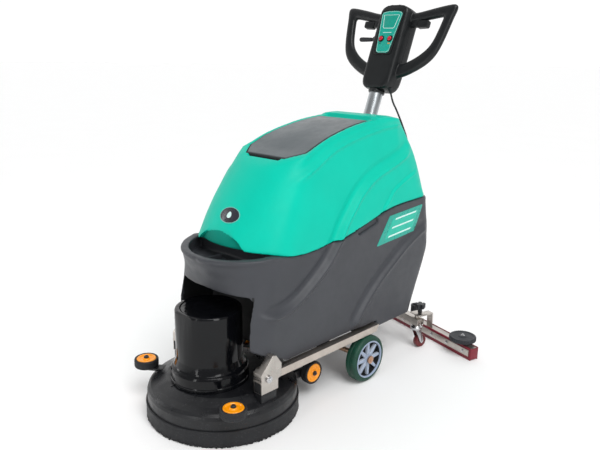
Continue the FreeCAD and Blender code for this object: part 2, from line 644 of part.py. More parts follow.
# Outlines in the console's plane: distance from the middle, then distance along the column.
GRIP_OUTLINE = (
    (47, 5), (78, 28), (88, 60), (118, 72), (162, 97), (196, 122), (219, 154), (234, 195),
    (244, 240), (262, 338), (261, 348), (251, 355), (240, 352), (98, 324), (66, 334), (30, 342))
GRIP_WINDOW = (
    (72, 112), (108, 126), (138, 143), (164, 163), (184, 186), (196, 212), (204, 244), (214, 299),
    (206, 303), (72, 280))
TRIGGER_OUTLINE = ((106, 290), (106, 264), (112, 261), (150, 263), (154, 268), (154, 290))
CONSOLE_OUTLINE = ((44, 4), (66, 26), (68, 60), (69, 157), (66, 320), (58, 334), (24, 342))
CONSOLE_ROOM = ((58, 40), (62, 157), (58, 322))
TRIGGER_ROOM = ((102, 280), (160, 280), (160, 302), (102, 302))
BUTTON_HOLES = [(side + "button_side", "button_along", "button_radius + 1") for side in ("", "0 - ")]


def both_sides(points):
    """Corners on +X and their mirror images, as one closed outline of bound texts."""
    right = [(str(x), str(y)) for x, y in points]
    left = [(str(-x), str(y)) for x, y in reversed(points)]
    return right + left


def one_side(points, side):
    """Corners on one side only, as bound texts."""
    return [(str(side * x), str(y)) for x, y in points]


def console_shell(name, forward):
    """Half of the console and of each grip: the front half reaches out, the back half behind."""
    shell = padded(name, both_sides(GRIP_OUTLINE), "grip_thickness / 2", reverse=not forward)
    for side, label in ((1, "left"), (-1, "right")):
        pocketed(shell, f"{name}_window_{label}", one_side(GRIP_WINDOW, side),
                 "grip_thickness", along_pad=forward)
        pocketed(shell, f"{name}_trigger_{label}", one_side(TRIGGER_ROOM, side),
                 "trigger_thickness / 2 + 1", along_pad=forward)
    case = shell.newObject("PartDesign::Pad", name + "_case")
    case.Profile = outline_sketch(shell, name + "_case_outline", both_sides(CONSOLE_OUTLINE))
    bind(case, "Length", "console_depth" if forward else "console_depth - 5")
    case.Reversed = not forward
    shell.Tip = case
    room_depth = "console_depth - console_wall" + ("" if forward else " - 5")
    pocketed(shell, name + "_room", both_sides(CONSOLE_ROOM), room_depth, along_pad=forward)
    if forward:
        button_room = shell.newObject("PartDesign::Pocket", name + "_buttons")
        button_room.Profile = add_rings(empty_sketch(shell, name + "_button_rings"), BUTTON_HOLES)
        bind(button_room, "Length", "console_depth + 5")
        button_room.Reversed = True
        shell.Tip = button_room
    return console_place(shell, dim("console_split"))


def console_parts():
    node(console_shell("console_front", True), "console_front")
    node(console_shell("console_back", False), "console_back")
    face = dim("console_split") + dim("console_depth")
    panel_corners = [("30", "panel_low"), ("47", "panel_high"), ("-47", "panel_high"), ("-30", "panel_low")]
    panel = padded("control_panel", panel_corners, "panel_thickness", BUTTON_HOLES)
    node(console_place(panel, face), "control_panel")
    for name, side in (("button_left", 1), ("button_right", -1)):
        button = rod(name, "button_radius", "9", ("0", "0", "0"))
        seat = console_point(side * dim("button_side"), dim("button_along"), face - 3)
        node(placed(button, seat, console_turn()), name)
    for side, label in ((1, "left"), (-1, "right")):
        trigger = padded("trigger_" + label, one_side(TRIGGER_OUTLINE, side), "trigger_thickness")
        low_face = dim("console_split") - dim("trigger_thickness") / 2
        node(console_place(trigger, low_face), "trigger_" + label)
    lever_bar = rod("lever_bar", "lever_radius", "lever_length", ("0", "0", "0"), "-X")
    lever_boss = rod("lever_boss", "lever_radius + 5", "16", ("0", "0", "-8"))
    lever_seat = console_point(-dim("lever_side"), dim("lever_along"), dim("console_split"))
    node(placed(join("lift_lever", lever_bar, lever_boss), lever_seat, console_turn()), "lift_lever")
    tube = rod("tube_outside", "column_radius", "150 - column_foot", ("0", "0", "0"))
    bore = rod("tube_bore", "column_radius - 2", "160 - column_foot", ("0", "0", "-5"))
    column = cut("column_tube", tube, bore)
    lean = Rotation(Vector(1, 0, 0), -dim("column_lean"))
    node(placed(column, console_point(0, dim("column_foot"), 0), lean), "column_tube")


# The console cable: from the gland under the console, down behind the tank, to the gland on its rear.
CABLE_ROUTE = (
    (58, 822, 1052), (60, 831, 1020), (66, 855, 985), (82, 876, 925), (98, 892, 868),
    (97, 905, 818), (86, 919, 762), (74, 938, 706), (66, 962, 652), (64, 985, 606),
    (66, 996, 568), (70, 985, 537), (74, 959, 528))


def cable_tube(route, radius):
    """Straight runs joined by tangent arcs, each arc as large as its two runs allow."""
    points = [Vector(*p) for p in route]
    edges, here, radii = [], points[0], []
    for before, corner, after in zip(points, points[1:], points[2:]):
        back, ahead = (before - corner).normalize(), (after - corner).normalize()
        turn = math.pi - back.getAngle(ahead)
        shorter = min((corner - before).Length, (after - corner).Length)
        tangent = 0.45 * shorter
        bend = tangent / math.tan(turn / 2)
        radii.append(round(bend, 1))
        start, end = corner + back * tangent, corner + ahead * tangent
        middle_way = (back + ahead).normalize()
        middle = corner + middle_way * (bend / math.cos(turn / 2) - bend)
        edges += [Part.LineSegment(here, start).toShape(), Part.Arc(start, middle, end).toShape()]
        here = end
    edges.append(Part.LineSegment(here, points[-1]).toShape())
    path = Part.Wire(edges)
    length = path.Length
    first = (points[1] - points[0]).normalize()
    ring = Part.Wire([Part.makeCircle(radius, points[0], first)])
    tube = path.makePipeShell([ring], True, False)
    print("cable radii", radii, "length", round(length, 1), "volume ratio",
          round(tube.Volume / (math.pi * radius ** 2 * length), 4))
    return tube


def cable_parts():
    node(shape_feature("console_cable", cable_tube(CABLE_ROUTE, dim("cable_radius"))), "console_cable")
    start, down = Vector(*CABLE_ROUTE[0]), Vector(*CABLE_ROUTE[1]) - Vector(*CABLE_ROUTE[0])
    upper = Part.makeCone(dim("cable_radius") + 1.5, dim("cable_radius") + 5, 22, start, down.negative())
    end, back = Vector(*CABLE_ROUTE[-1]), Vector(*CABLE_ROUTE[-1]) - Vector(*CABLE_ROUTE[-2])
    lower = Part.makeCone(dim("cable_radius") + 1.5, dim("cable_radius") + 5, 22, end, back)
    node(shape_feature("cable_glands", Part.makeCompound([upper, lower])), "cable_glands")


# ---------------------------------------------------------------- squeegee
# Everything here is drawn with the swivel pin at the origin and the blades square to Y,
# then turned to the swung rest position.
def squeegee_place(obj):
    """Turns a finished squeegee piece about the swivel pin and carries it to the pin."""
    turn = Placement(Vector(0, dim("swivel_y"), 0), Rotation(Vector(0, 0, 1), dim("swivel_angle")))
    obj.Placement = turn.multiply(obj.Placement)
    return obj


def squeegee_node(shape, label):
    return node(squeegee_place(shape), label)


def squeegee_shape(name, *solids):
    """One fused piece out of plain solids."""
    whole = solids[0]
    for solid in solids[1:]:
        whole = whole.fuse(solid)
    return shape_feature(name, whole.removeSplitter())


def upright(radius, low, high, across, along):
    return Part.makeCylinder(radius, high - low, Vector(across, along, low))


def squeegee_mount():
    pin = rod("swivel_pin", "swivel_radius", "tank_rear_floor - 14 - 106", ("0", "swivel_y", "106"))
    washer = rod("swivel_washer", "swivel_radius + 8", "5", ("0", "swivel_y", "106"))
    node(join("squeegee_mount", pin, washer), "squeegee_mount")


def swing_arm():
    reach, height = dim("lift_reach"), dim("lift_height")
    hub = upright(22, 112, 140, 0, 0)
    neck = block((-14, 10, 114), (14, reach - 14, 136))
    barrel = Part.makeCylinder(11, 28, Vector(-14, reach, height), Vector(1, 0, 0))
    web = block((-14, reach - 16, 114), (14, reach, 136))
    pin = Part.makeCylinder(6, 76, Vector(-38, reach, height), Vector(1, 0, 0))
    arm = squeegee_shape("swing_arm", hub, neck, barrel, web, pin)
    arm.Shape = arm.Shape.cut(upright(dim("swivel_radius") + dim("running_gap"), 100, 150, 0, 0))
    squeegee_node(arm, "swing_arm")


def carrier():
    reach, height = dim("lift_reach"), dim("lift_height")
    side, ahead = dim("caster_side"), dim("caster_reach")
    solids = []
    for sign in (-1, 1):
        low, high = sorted((sign * 18, sign * 32))
        ear = block((low, reach - 16, height - 13), (high, ahead, height + 11))
        solids.append(ear)
    beam = block((-side - 26, ahead - 16, 106), (side + 26, ahead + 16, 136))
    hollow = block((-side - 30, ahead - 13, 100), (side + 30, ahead + 13, 132))
    ribs = [block((s - 14, ahead - 13, 106), (s + 14, ahead + 13, 132)) for s in (-side, side)]
    solids += [beam.cut(hollow)] + ribs
    for sign in (-1, 1):
        x = sign * side
        solids.append(block((x - 26, ahead - 14, 150), (x + 26, ahead + 34, 154)))
        solids.append(upright(9, 135, 151, x, ahead))
        solids.append(upright(dim("stud_radius"), 153, 190, x, ahead + 16))
        link = sign * 100
        solids.append(block((link - 16, ahead + 14, 108), (link + 16, dim("bar_reach") + 22, 113)))
        solids.append(block((link - 16, dim("bar_reach") + 17, 50), (link + 16, dim("bar_reach") + 22, 110)))
    whole = squeegee_shape("carrier_plate", *solids)
    pin_hole = Part.makeCylinder(6 + dim("running_gap"), 90, Vector(-45, reach, height), Vector(1, 0, 0))
    shape = whole.Shape.cut(pin_hole)
    for x in (-side, side):
        shape = shape.cut(upright(6 + dim("running_gap"), 100, 130, x, ahead))
    whole.Shape = shape
    squeegee_node(whole, "carrier_plate")


def squeegee_bar():
    half, reach, blade = dim("bar_half_length"), dim("bar_reach"), dim("blade_thickness")
    front, back = reach + blade / 2, reach + blade / 2 + dim("channel_width")
    height, middle = dim("blade_height"), (front + back) / 2
    channel = block((-half + 4, front, 14), (half - 4, back, height - 2))
    channel = channel.cut(block((-half, front + 3, 10), (half, back - 3, height - 5)))
    port_hole = upright(dim("port_radius") - 3, 40, 60, 0, middle)
    roller_low = dim("end_roller_low")
    roller_seats = [side * dim("end_roller_side") for side in (-1, 1)]
    stud_top = roller_low + dim("end_roller_width") + 5
    studs = [upright(5, height - 4, stud_top, seat, middle) for seat in roller_seats]
    spacers = [upright(12, height - 3, roller_low - 0.5, seat, middle) for seat in roller_seats]
    bar = squeegee_shape("squeegee_channel", channel.cut(port_hole), *studs, *spacers)
    squeegee_node(bar, "squeegee_channel")
    blades = [block((-half, y, 0), (half, y + blade, height)) for y in (front - blade, back)]
    squeegee_node(shape_feature("squeegee_blades", Part.makeCompound(blades)), "squeegee_blades")
    strips = [block((-half + 10, y, 16), (half - 10, y + 3, height - 9))
              for y in (front - blade - 3, back + blade)]
    squeegee_node(shape_feature("blade_clamps", Part.makeCompound(strips)), "blade_clamps")
    port = upright(dim("port_radius"), height + 1, height + 61, 0, middle)
    flange = upright(dim("port_radius") - 3, height - 5, height + 1, 0, middle)
    port = port.fuse(flange).cut(upright(dim("port_radius") - 6, 30, 120, 0, middle))
    squeegee_node(shape_feature("suction_port", port), "suction_port")
    for label, side in (("left", 1), ("right", -1)):
        roller = revolved("end_roller_" + label,
                          [("5 + running_gap", "0"), ("end_roller_radius - 3", "0"),
                           ("end_roller_radius", "3"),
                           ("end_roller_radius", "end_roller_width - 3"),
                           ("end_roller_radius - 3", "end_roller_width"),
                           ("5 + running_gap", "end_roller_width")])
        placed(roller, Vector(side * dim("end_roller_side"), middle, roller_low), Rotation())
        squeegee_node(roller, "end_roller_" + label)


def star_knob(label, across):
    """A five-lobed hand nut on its stud."""
    along, low = dim("caster_reach") + 16, 172
    solids = [upright(12, low, low + 22, across, along), upright(9, low - 16, low + 2, across, along)]
    for i in range(5):
        turn = 2 * math.pi * i / 5
        lobe_x, lobe_y = across + 15 * math.cos(turn), along + 15 * math.sin(turn)
        solids.append(upright(7.5, low + 4, low + 22, lobe_x, lobe_y))
    knob = squeegee_shape("star_knob_" + label, *solids)
    knob.Shape = knob.Shape.cut(upright(dim("stud_radius") + dim("running_gap"), 150, 191, across, along))
    squeegee_node(knob, "star_knob_" + label)


def caster(label, across):
    """A swivelling fork with a trailing wheel."""
    pivot, trail = dim("caster_reach"), dim("caster_trail")
    radius, width = dim("caster_radius"), dim("caster_width")
    axle_way = Vector(1, 0, 0)
    axle_y, axle_z = pivot + trail, radius
    solids = [upright(6, 90, 129, across, pivot), upright(20, 86, 100, across, pivot)]
    for sign in (-1, 1):
        inner, outer = sorted((sign * (width / 2 + 1.5), sign * (width / 2 + 4.5)))
        cheek = [(pivot - 14, 88), (pivot + 14, 88), (axle_y + 9, axle_z), (axle_y, axle_z - 9),
                 (axle_y - 9, axle_z)]
        face = Part.Face(Part.makePolygon([Vector(across + inner, y, z) for y, z in cheek + cheek[:1]]))
        solids.append(face.extrude(Vector(outer - inner, 0, 0)))
    pin_end = Vector(across - width / 2 - 6, axle_y, axle_z)
    solids.append(Part.makeCylinder(4, width + 12, pin_end, axle_way))
    solids.append(block((across - width / 2 - 4, pivot - 13, 82), (across + width / 2 + 4, pivot + 13, 88)))
    squeegee_node(squeegee_shape("caster_fork_" + label, *solids), "caster_fork_" + label)
    wheel = Part.makeCylinder(radius, width, pin_end + axle_way * 6, axle_way)
    wheel = wheel.makeFillet(5, [e for e in wheel.Edges if e.Curve.TypeId == "Part::GeomCircle"])
    wheel = wheel.cut(Part.makeCylinder(4 + dim("running_gap"), width + 12, pin_end, axle_way))
    squeegee_node(shape_feature("caster_wheel_" + label, wheel), "caster_wheel_" + label)


# ---------------------------------------------------------------- build, check and write
deck_parts()
deck_bracket()
roller_set()
chassis_parts()
main_wheel()
solution_tank()
recovery_tank()
tank_contents()
console_parts()
cable_parts()
squeegee_mount()
swing_arm()
carrier()
squeegee_bar()
for knob_side, knob_sign in (("left", 1), ("right", -1)):
    star_knob(knob_side, knob_sign * dim("caster_side"))
    caster(knob_side, knob_sign * dim("caster_side"))
doc.recompute()

failed = [o.Name for o in doc.Objects if "Invalid" in o.State or "Error" in o.State]
for part in finished:
    if part.Shape.isNull() or not part.Shape.isValid():
        failed.append(part.Label + " has no valid shape")
if failed:
    raise SystemExit("failed: " + ", ".join(failed))
for part in finished:
    part.Shape.exportStep(f"parts/{part.Label}.step")
    print(part.Label, len(part.Shape.Solids), "solids", round(part.Shape.Volume / 1000), "cm3")
print(len(finished), "nodes")
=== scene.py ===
import json
import math
import random

import bmesh
import bpy
import numpy as np
from mathutils import Matrix, Vector


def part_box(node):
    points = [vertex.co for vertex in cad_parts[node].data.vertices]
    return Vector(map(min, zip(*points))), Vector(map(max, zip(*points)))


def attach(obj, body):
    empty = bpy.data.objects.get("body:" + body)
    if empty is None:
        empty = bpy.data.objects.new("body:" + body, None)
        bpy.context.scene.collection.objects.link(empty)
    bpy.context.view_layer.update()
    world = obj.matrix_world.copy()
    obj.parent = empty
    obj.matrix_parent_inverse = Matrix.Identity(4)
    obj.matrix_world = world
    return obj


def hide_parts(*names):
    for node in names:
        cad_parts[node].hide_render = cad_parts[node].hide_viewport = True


# A walk-behind floor scrubber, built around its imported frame.
# Lengths are metres, and MM turns millimetres into them.
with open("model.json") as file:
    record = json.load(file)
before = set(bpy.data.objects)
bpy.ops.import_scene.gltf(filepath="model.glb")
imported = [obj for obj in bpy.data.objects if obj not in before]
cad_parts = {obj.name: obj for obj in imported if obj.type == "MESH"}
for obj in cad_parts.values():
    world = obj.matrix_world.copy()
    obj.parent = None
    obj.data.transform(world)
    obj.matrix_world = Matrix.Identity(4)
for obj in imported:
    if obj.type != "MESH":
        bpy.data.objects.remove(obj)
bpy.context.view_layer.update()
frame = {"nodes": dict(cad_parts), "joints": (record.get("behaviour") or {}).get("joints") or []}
random.seed(11)
MM = 0.001
joints = {j["name"]: j for j in frame["joints"]}
X_AXIS, Y_AXIS, Z_AXIS = Vector((1, 0, 0)), Vector((0, 1, 0)), Vector((0, 0, 1))


# ---------------------------------------------------------------- places that the frame gives
def basis(origin, across, along, out):
    """A local frame: its three axes and its origin."""
    turn = Matrix((across, along, out)).transposed().to_4x4()
    return Matrix.Translation(origin) @ turn


PANEL_OUT = Vector(joints["lift_lever_turn"]["axis"]).normalized()
COLUMN_UP = PANEL_OUT.cross(X_AXIS).normalized()
COLUMN_POINT = Vector((0, 0.807, 1.058))
CONSOLE = basis(COLUMN_POINT, X_AXIS, COLUMN_UP, PANEL_OUT)

SWIVEL = Vector(joints["squeegee_swing"]["pos_m"])
BAR = Vector(joints["squeegee_lift"]["axis"]).normalized()
SQUEEGEE = basis(Vector((SWIVEL.x, SWIVEL.y, 0)), BAR, Z_AXIS.cross(BAR), Z_AXIS)
WORLD = Matrix.Identity(4)


# ---------------------------------------------------------------- camera
def camera():
    data = bpy.data.cameras.new("camera")
    data.lens = 39.94
    data.sensor_width = 36
    data.clip_end = 50
    eye = bpy.data.objects.new("camera", data)
    bpy.context.scene.collection.objects.link(eye)
    azimuth, pitch, roll = math.radians(44.122), math.radians(14.933), math.radians(0.550)
    level = Vector((math.cos(azimuth), math.sin(azimuth), 0))
    back = Vector((math.sin(azimuth) * math.cos(pitch), -math.cos(azimuth) * math.cos(pitch),
                   math.sin(pitch)))
    upright = back.cross(level)
    right = math.cos(roll) * level + math.sin(roll) * upright
    up = -math.sin(roll) * level + math.cos(roll) * upright
    eye.matrix_world = basis(Vector((1.6534, -1.3269, 1.222)), right, up, back)
    bpy.context.scene.camera = eye


# ---------------------------------------------------------------- materials
def linear(*levels):
    """A colour given as 0-255 display levels."""
    curve = [c / 255 / 12.92 if c <= 10 else ((c / 255 + 0.055) / 1.055) ** 2.4 for c in levels]
    return tuple(curve) + (1.0,)


def scaled(colour, gain):
    return tuple(min(1.0, c * gain) for c in colour[:3]) + (1.0,)


class Finish:
    """A procedural material: mottled colour, uneven roughness and a bump of its own."""

    def __init__(self, name, colour, rough, metal=0.0, coat=0.0, specular=0.5):
        self.material = bpy.data.materials.new(name)
        self.material.use_nodes = True
        self.tree = self.material.node_tree
        self.shader = self.tree.nodes["Principled BSDF"]
        self.colour = colour
        self.shader.inputs["Metallic"].default_value = metal
        self.shader.inputs["Coat Weight"].default_value = coat
        self.shader.inputs["Coat Roughness"].default_value = 0.12
        self.shader.inputs["Specular IOR Level"].default_value = specular
        self.shader.inputs["Roughness"].default_value = rough
        self.rough = rough
        self.height = None
        self.place = self.node("ShaderNodeTexCoord").outputs["Object"]

    def node(self, kind, **values):
        made = self.tree.nodes.new(kind)
        for name, value in values.items():
            setattr(made, name, value)
        return made

    def link(self, source, target):
        self.tree.links.new(source, target)

    def noise(self, scale, detail=3.0, stretch=(1, 1, 1), distortion=0.0):
        place = self.node("ShaderNodeMapping")
        place.inputs["Scale"].default_value = stretch
        self.link(self.place, place.inputs["Vector"])
        made = self.node("ShaderNodeTexNoise")
        made.inputs["Scale"].default_value = scale
        made.inputs["Detail"].default_value = detail
        made.inputs["Distortion"].default_value = distortion
        self.link(place.outputs["Vector"], made.inputs["Vector"])
        return made.outputs["Fac"]

    def spread(self, source, low, high, floor=0.3, roof=0.7):
        made = self.node("ShaderNodeMapRange")
        made.inputs["From Min"].default_value = floor
        made.inputs["From Max"].default_value = roof
        made.inputs["To Min"].default_value = low
        made.inputs["To Max"].default_value = high
        self.link(source, made.inputs["Value"])
        return made.outputs["Result"]

    def mix(self, amount, first, second):
        made = self.node("ShaderNodeMix", data_type="RGBA")
        self.link(amount, made.inputs["Factor"])
        for value, target in ((first, made.inputs["A"]), (second, made.inputs["B"])):
            if isinstance(value, tuple):
                target.default_value = value
            else:
                self.link(value, target)
        return made.outputs["Result"]

    def mottled(self, scale, depth, **noise):
        """The colour drifts between a darker and a lighter shade."""
        amount = self.spread(self.noise(scale, **noise), 0, 1)
        self.base = self.mix(amount, scaled(self.colour, 1 - depth), scaled(self.colour, 1 + depth))
        return self

    def speckled(self, scale, colour, amount, floor=0.62, roof=0.72):
        """Small specks of another colour, such as dust or the flakes in a cast grain."""
        specks = self.spread(self.noise(scale, detail=2.0), 0, amount, floor, roof)
        self.base = self.mix(specks, self.base, colour)
        return self

    def worn(self, colour, amount):
        """Rubbed edges show a lighter shade."""
        edge = self.node("ShaderNodeNewGeometry").outputs["Pointiness"]
        rubbed = self.spread(edge, 0, amount, 0.53, 0.62)
        self.base = self.mix(rubbed, self.base, colour)
        return self

    def uneven(self, scale, depth, **noise):
        self.link(self.spread(self.noise(scale, **noise), max(0.02, self.rough - depth), self.rough + depth),
                  self.shader.inputs["Roughness"])
        return self

    def bumped(self, scale, distance, strength=1.0, **noise):
        made = self.node("ShaderNodeBump")
        made.inputs["Strength"].default_value = strength
        made.inputs["Distance"].default_value = distance
        self.link(self.noise(scale, **noise), made.inputs["Height"])
        if self.height is not None:
            self.link(self.height, made.inputs["Normal"])
        self.height = made.outputs["Normal"]
        return self

    def done(self):
        self.link(self.base, self.shader.inputs["Base Color"])
        if self.height is not None:
            self.link(self.height, self.shader.inputs["Normal"])
        return self.material


def moulded_plastic(name, colour, rough, grain=0.00025, grain_scale=900, depth=0.04, wear=None, coat=0.0,
                    specular=0.4):
    finish = Finish(name, colour, rough, coat=coat, specular=specular)
    finish.mottled(9, depth, detail=4.0).uneven(35, 0.05, detail=5.0)
    finish.bumped(14, 0.0016, 0.35, detail=2.0)
    if grain:
        finish.bumped(grain_scale, grain, 0.5, detail=2.0)
    if wear:
        finish.worn(wear, 0.6)
    return finish.done()


def brushed_metal(name, colour, rough, stretch):
    finish = Finish(name, colour, rough, metal=1.0).mottled(20, 0.1, detail=4.0)
    finish.uneven(30, 0.1, detail=6.0, stretch=stretch)
    finish.bumped(60, 0.00012, 0.8, detail=6.0, stretch=stretch)
    return finish.done()


def rubber(name, colour, rough, grain=0.0003):
    finish = Finish(name, colour, rough, specular=0.35).mottled(30, 0.18, detail=5.0)
    finish.speckled(240, linear(95, 95, 95), 0.25).uneven(60, 0.08, detail=4.0)
    finish.bumped(700, grain, 0.6, detail=3.0)
    return finish.done()


def smooth(name, colour, rough, drift, gloss, coat=0.0):
    """A smooth film or button: a scale and a depth for the drift of its colour and of its gloss."""
    return Finish(name, colour, rough, coat=coat).mottled(*drift).uneven(*gloss).done()


GREEN = moulded_plastic("green_tank", linear(0, 190, 165), 0.44, grain=0.00012, grain_scale=700,
                         depth=0.03, specular=0.14)
# painted shade: a darker green for the scoop in the nose, standing for its shadow
GREEN_SCOOP_PAINTED_SHADE = moulded_plastic("green_scoop_painted_shade", linear(0, 138, 120), 0.6, grain=0.0004, grain_scale=500,
        depth=0.06, specular=0.1)
GREY = moulded_plastic("grey_tank", linear(58, 60, 65), 0.46, depth=0.07)
# painted shade: a dark grey for the shadowed inside of the front arch, the bracket throats and the rim
# windows
GREY_PAINTED_SHADE = moulded_plastic("grey_painted_shade", linear(20, 21, 23), 0.6, depth=0.08)
LID = moulded_plastic("lid", linear(76, 84, 88), 0.34, grain=0.0002, depth=0.05)
BLACK = moulded_plastic("black_plastic", linear(33, 35, 39), 0.42, depth=0.12, wear=linear(80, 82, 86))
DECK_BLACK = (Finish("deck_black", linear(20, 21, 24), 0.36, specular=0.4).mottled(16, 0.25, detail=6.0)
              .speckled(150, linear(84, 85, 88), 0.22).uneven(24, 0.14, detail=6.0)
              .bumped(420, 0.0005, 0.55, detail=4.0).bumped(40, 0.0008, 0.3).done())
GLOSS_BLACK = (Finish("gloss_black", linear(9, 10, 13), 0.13, coat=0.08, specular=0.22).mottled(12, 0.2,
        detail=4.0).uneven(30, 0.06, detail=5.0).bumped(26, 0.004, 0.5, detail=3.0, stretch=(1, 1,
        0.1)).done())
CONSOLE_BLACK = (Finish("console_black", linear(15, 18, 20), 0.36, specular=0.35)
                 .mottled(14, 0.12, detail=4.0).uneven(40, 0.07).bumped(1100, 0.0002, 0.5, detail=2.0).done())
RUBBER = rubber("black_rubber", linear(30, 31, 34), 0.62)
SKIRT = rubber("skirt_rubber", linear(26, 27, 30), 0.6, grain=0.0006)
BRISTLE = rubber("bristles", linear(22, 22, 25), 0.6)
ORANGE = moulded_plastic("orange_plastic", linear(255, 158, 8), 0.3, grain=0.0001, depth=0.04, coat=0.2)
GREEN_TYRE = rubber("green_tyre", linear(14, 62, 47), 0.5)
RIM = moulded_plastic("rim_plastic", linear(146, 160, 182), 0.38, grain=0.0001, wear=linear(205, 212, 222))
STEEL = brushed_metal("stainless", linear(196, 186, 177), 0.33, (1, 0.03, 1))
STEEL_ACROSS = brushed_metal("stainless_across", linear(190, 184, 178), 0.3, (0.03, 1, 1))
TUBE_STEEL = brushed_metal("tube_steel", linear(178, 183, 186), 0.28, (1, 1, 0.03))
CHROME = (Finish("zinc", linear(200, 200, 202), 0.2, metal=1.0).mottled(40, 0.08).uneven(80, 0.08)
          .bumped(300, 0.0001, 0.6).done())
COPPER = (Finish("yellow_zinc", linear(190, 152, 128), 0.3, metal=1.0)
          .mottled(60, 0.12).uneven(80, 0.08).done())
CAST = (Finish("cast_paint", linear(40, 42, 46), 0.5).mottled(25, 0.15).uneven(50, 0.1)
        .bumped(500, 0.0004, 0.6, detail=4.0).done())
BATTERY = moulded_plastic("battery_case", linear(36, 37, 42), 0.4, depth=0.1)
MAROON = (Finish("maroon_rubber", linear(118, 14, 36), 0.42).mottled(40, 0.15, detail=4.0)
          .uneven(60, 0.08).bumped(500, 0.0003, 0.5).done())
CASTER_RUBBER = (Finish("caster_rubber", linear(98, 26, 30), 0.35).mottled(50, 0.15).uneven(80, 0.08)
                 .bumped(600, 0.0002, 0.5).done())
ROLLER_GREY = rubber("roller_grey", linear(38, 40, 45), 0.5)
CABLE = (Finish("cable_rubber", linear(13, 13, 15), 0.42).mottled(60, 0.15).uneven(90, 0.08)
         .bumped(900, 0.0001, 0.5).done())
RED = smooth("red_button", linear(192, 14, 42), 0.22, (80, 0.06), (120, 0.05), coat=0.3)
FILM = (Finish("panel_film", linear(0, 158, 140), 0.3).mottled(30, 0.04).uneven(60, 0.05)
        .bumped(1500, 0.00006, 0.5).done())
FILM_DARK = smooth("display_film", linear(0, 146, 128), 0.22, (30, 0.05), (60, 0.04))
FILM_LINE = smooth("panel_line", linear(205, 235, 230), 0.35, (80, 0.04), (90, 0.05))
MARK_ORANGE = smooth("mark_orange", linear(225, 140, 20), 0.35, (80, 0.05), (90, 0.05))
MARK_DARK = smooth("mark_dark", linear(20, 60, 55), 0.35, (80, 0.05), (90, 0.05))
BADGE_DARK = smooth("badge_dark", linear(30, 32, 42), 0.25, (80, 0.08), (90, 0.05), coat=0.4)
BADGE_RIM = smooth("badge_rim", linear(120, 190, 180), 0.3, (80, 0.06), (90, 0.05))
DECAL_GREEN = smooth("decal_green", linear(0, 180, 156), 0.34, (40, 0.04), (70, 0.05))


# ---------------------------------------------------------------- mesh helpers
def mesh_from(name, points, faces):
    mesh = bpy.data.meshes.new(name)
    mesh.from_pydata([tuple(p) for p in points], [], faces)
    mesh.validate()
    return mesh


def crisp(mesh, angle=35):
    """Smooth shading, broken along edges sharper than the angle."""
    mesh.shade_smooth()
    mesh.set_sharp_from_angle(angle=math.radians(angle))
    return mesh


def temporary(mesh):
    obj = bpy.data.objects.new("temporary", mesh)
    bpy.context.scene.collection.objects.link(obj)
    return obj


def evaluated(obj):
    """The mesh of a temporary object with its modifiers applied; the object goes."""
    bpy.context.view_layer.update()
    graph = bpy.context.evaluated_depsgraph_get()
    mesh = bpy.data.meshes.new_from_object(obj.evaluated_get(graph))
    bpy.data.objects.remove(obj)
    return mesh


def piece(name, mesh, body, material, stands_for=(), angle=35):
    mesh.materials.clear()
    mesh.materials.append(material)
    if angle is not None:
        crisp(mesh, angle)
    obj = bpy.data.objects.new(name, mesh)
    bpy.context.scene.collection.objects.link(obj)
    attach(obj, body)
    if stands_for:
        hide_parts(*stands_for)
    return obj


def joined(*meshes):
    """One mesh holding several, each still closed."""
    points, faces = [], []
    for mesh in meshes:
        start = len(points)
        points += [v.co.copy() for v in mesh.vertices]
        faces += [[start + i for i in p.vertices] for p in mesh.polygons]
    return mesh_from("joined", points, faces)


def moved(mesh, matrix):
    mesh.transform(matrix)
    return mesh


def rounded(points, radius, closed=True, steps=4):
    """An outline with its corners rounded. The radius is one number, or one for each corner."""
    radii = radius if isinstance(radius, (list, tuple)) else [radius] * len(points)
    made = []
    for i, (corner, size) in enumerate(zip(points, radii)):
        if not closed and i in (0, len(points) - 1) or size <= 0:
            made.append(Vector(corner))
            continue
        here = Vector(corner)
        before, after = Vector(points[i - 1]) - here, Vector(points[(i + 1) % len(points)]) - here
        turn = before.angle(after, math.pi)
        if turn > math.radians(176):
            made.append(here)
            continue
        reach = min(size / math.tan(turn / 2), 0.48 * before.length, 0.48 * after.length)
        start, end = here + before.normalized() * reach, here + after.normalized() * reach
        for k in range(steps + 1):
            share = k / steps
            made.append(start.lerp(here, share).lerp(here.lerp(end, share), share))
    return made


def lathe(profile, place, steps=96, soft=0.0):
    """A turned piece: (radius, height) in millimetres about the local Z of the place."""
    outline = rounded([Vector(p) for p in profile], soft) if soft else [Vector(p) for p in profile]
    points, faces, rows = [], [], []
    for radius, height in outline:
        if radius < 0.02:
            rows.append([len(points)] * steps)
            points.append(place @ Vector((0, 0, height * MM)))
            continue
        rows.append(list(range(len(points), len(points) + steps)))
        for i in range(steps):
            turn = 2 * math.pi * i / steps
            points.append(place @ Vector((radius * MM * math.cos(turn), radius * MM * math.sin(turn),
                    height * MM)))
    for low, high in zip(rows, rows[1:] + rows[:1]):
        for i in range(steps):
            j = (i + 1) % steps
            ring = [low[i], low[j], high[j], high[i]]
            face = [v for k, v in enumerate(ring) if v not in ring[:k]]
            if len(face) > 2:
                faces.append(face)
    mesh = mesh_from("lathe", points, faces)
    outward(mesh)
    return mesh


def outward(mesh):
    work = bmesh.new()
    work.from_mesh(mesh)
    bmesh.ops.recalc_face_normals(work, faces=work.faces)
    work.to_mesh(mesh)
    work.free()
    return mesh


def turned_to(origin, axis):
    """A place whose Z is the axis."""
    axis = Vector(axis).normalized()
    side = axis.orthogonal().normalized()
    return basis(Vector(origin), side, axis.cross(side), axis)


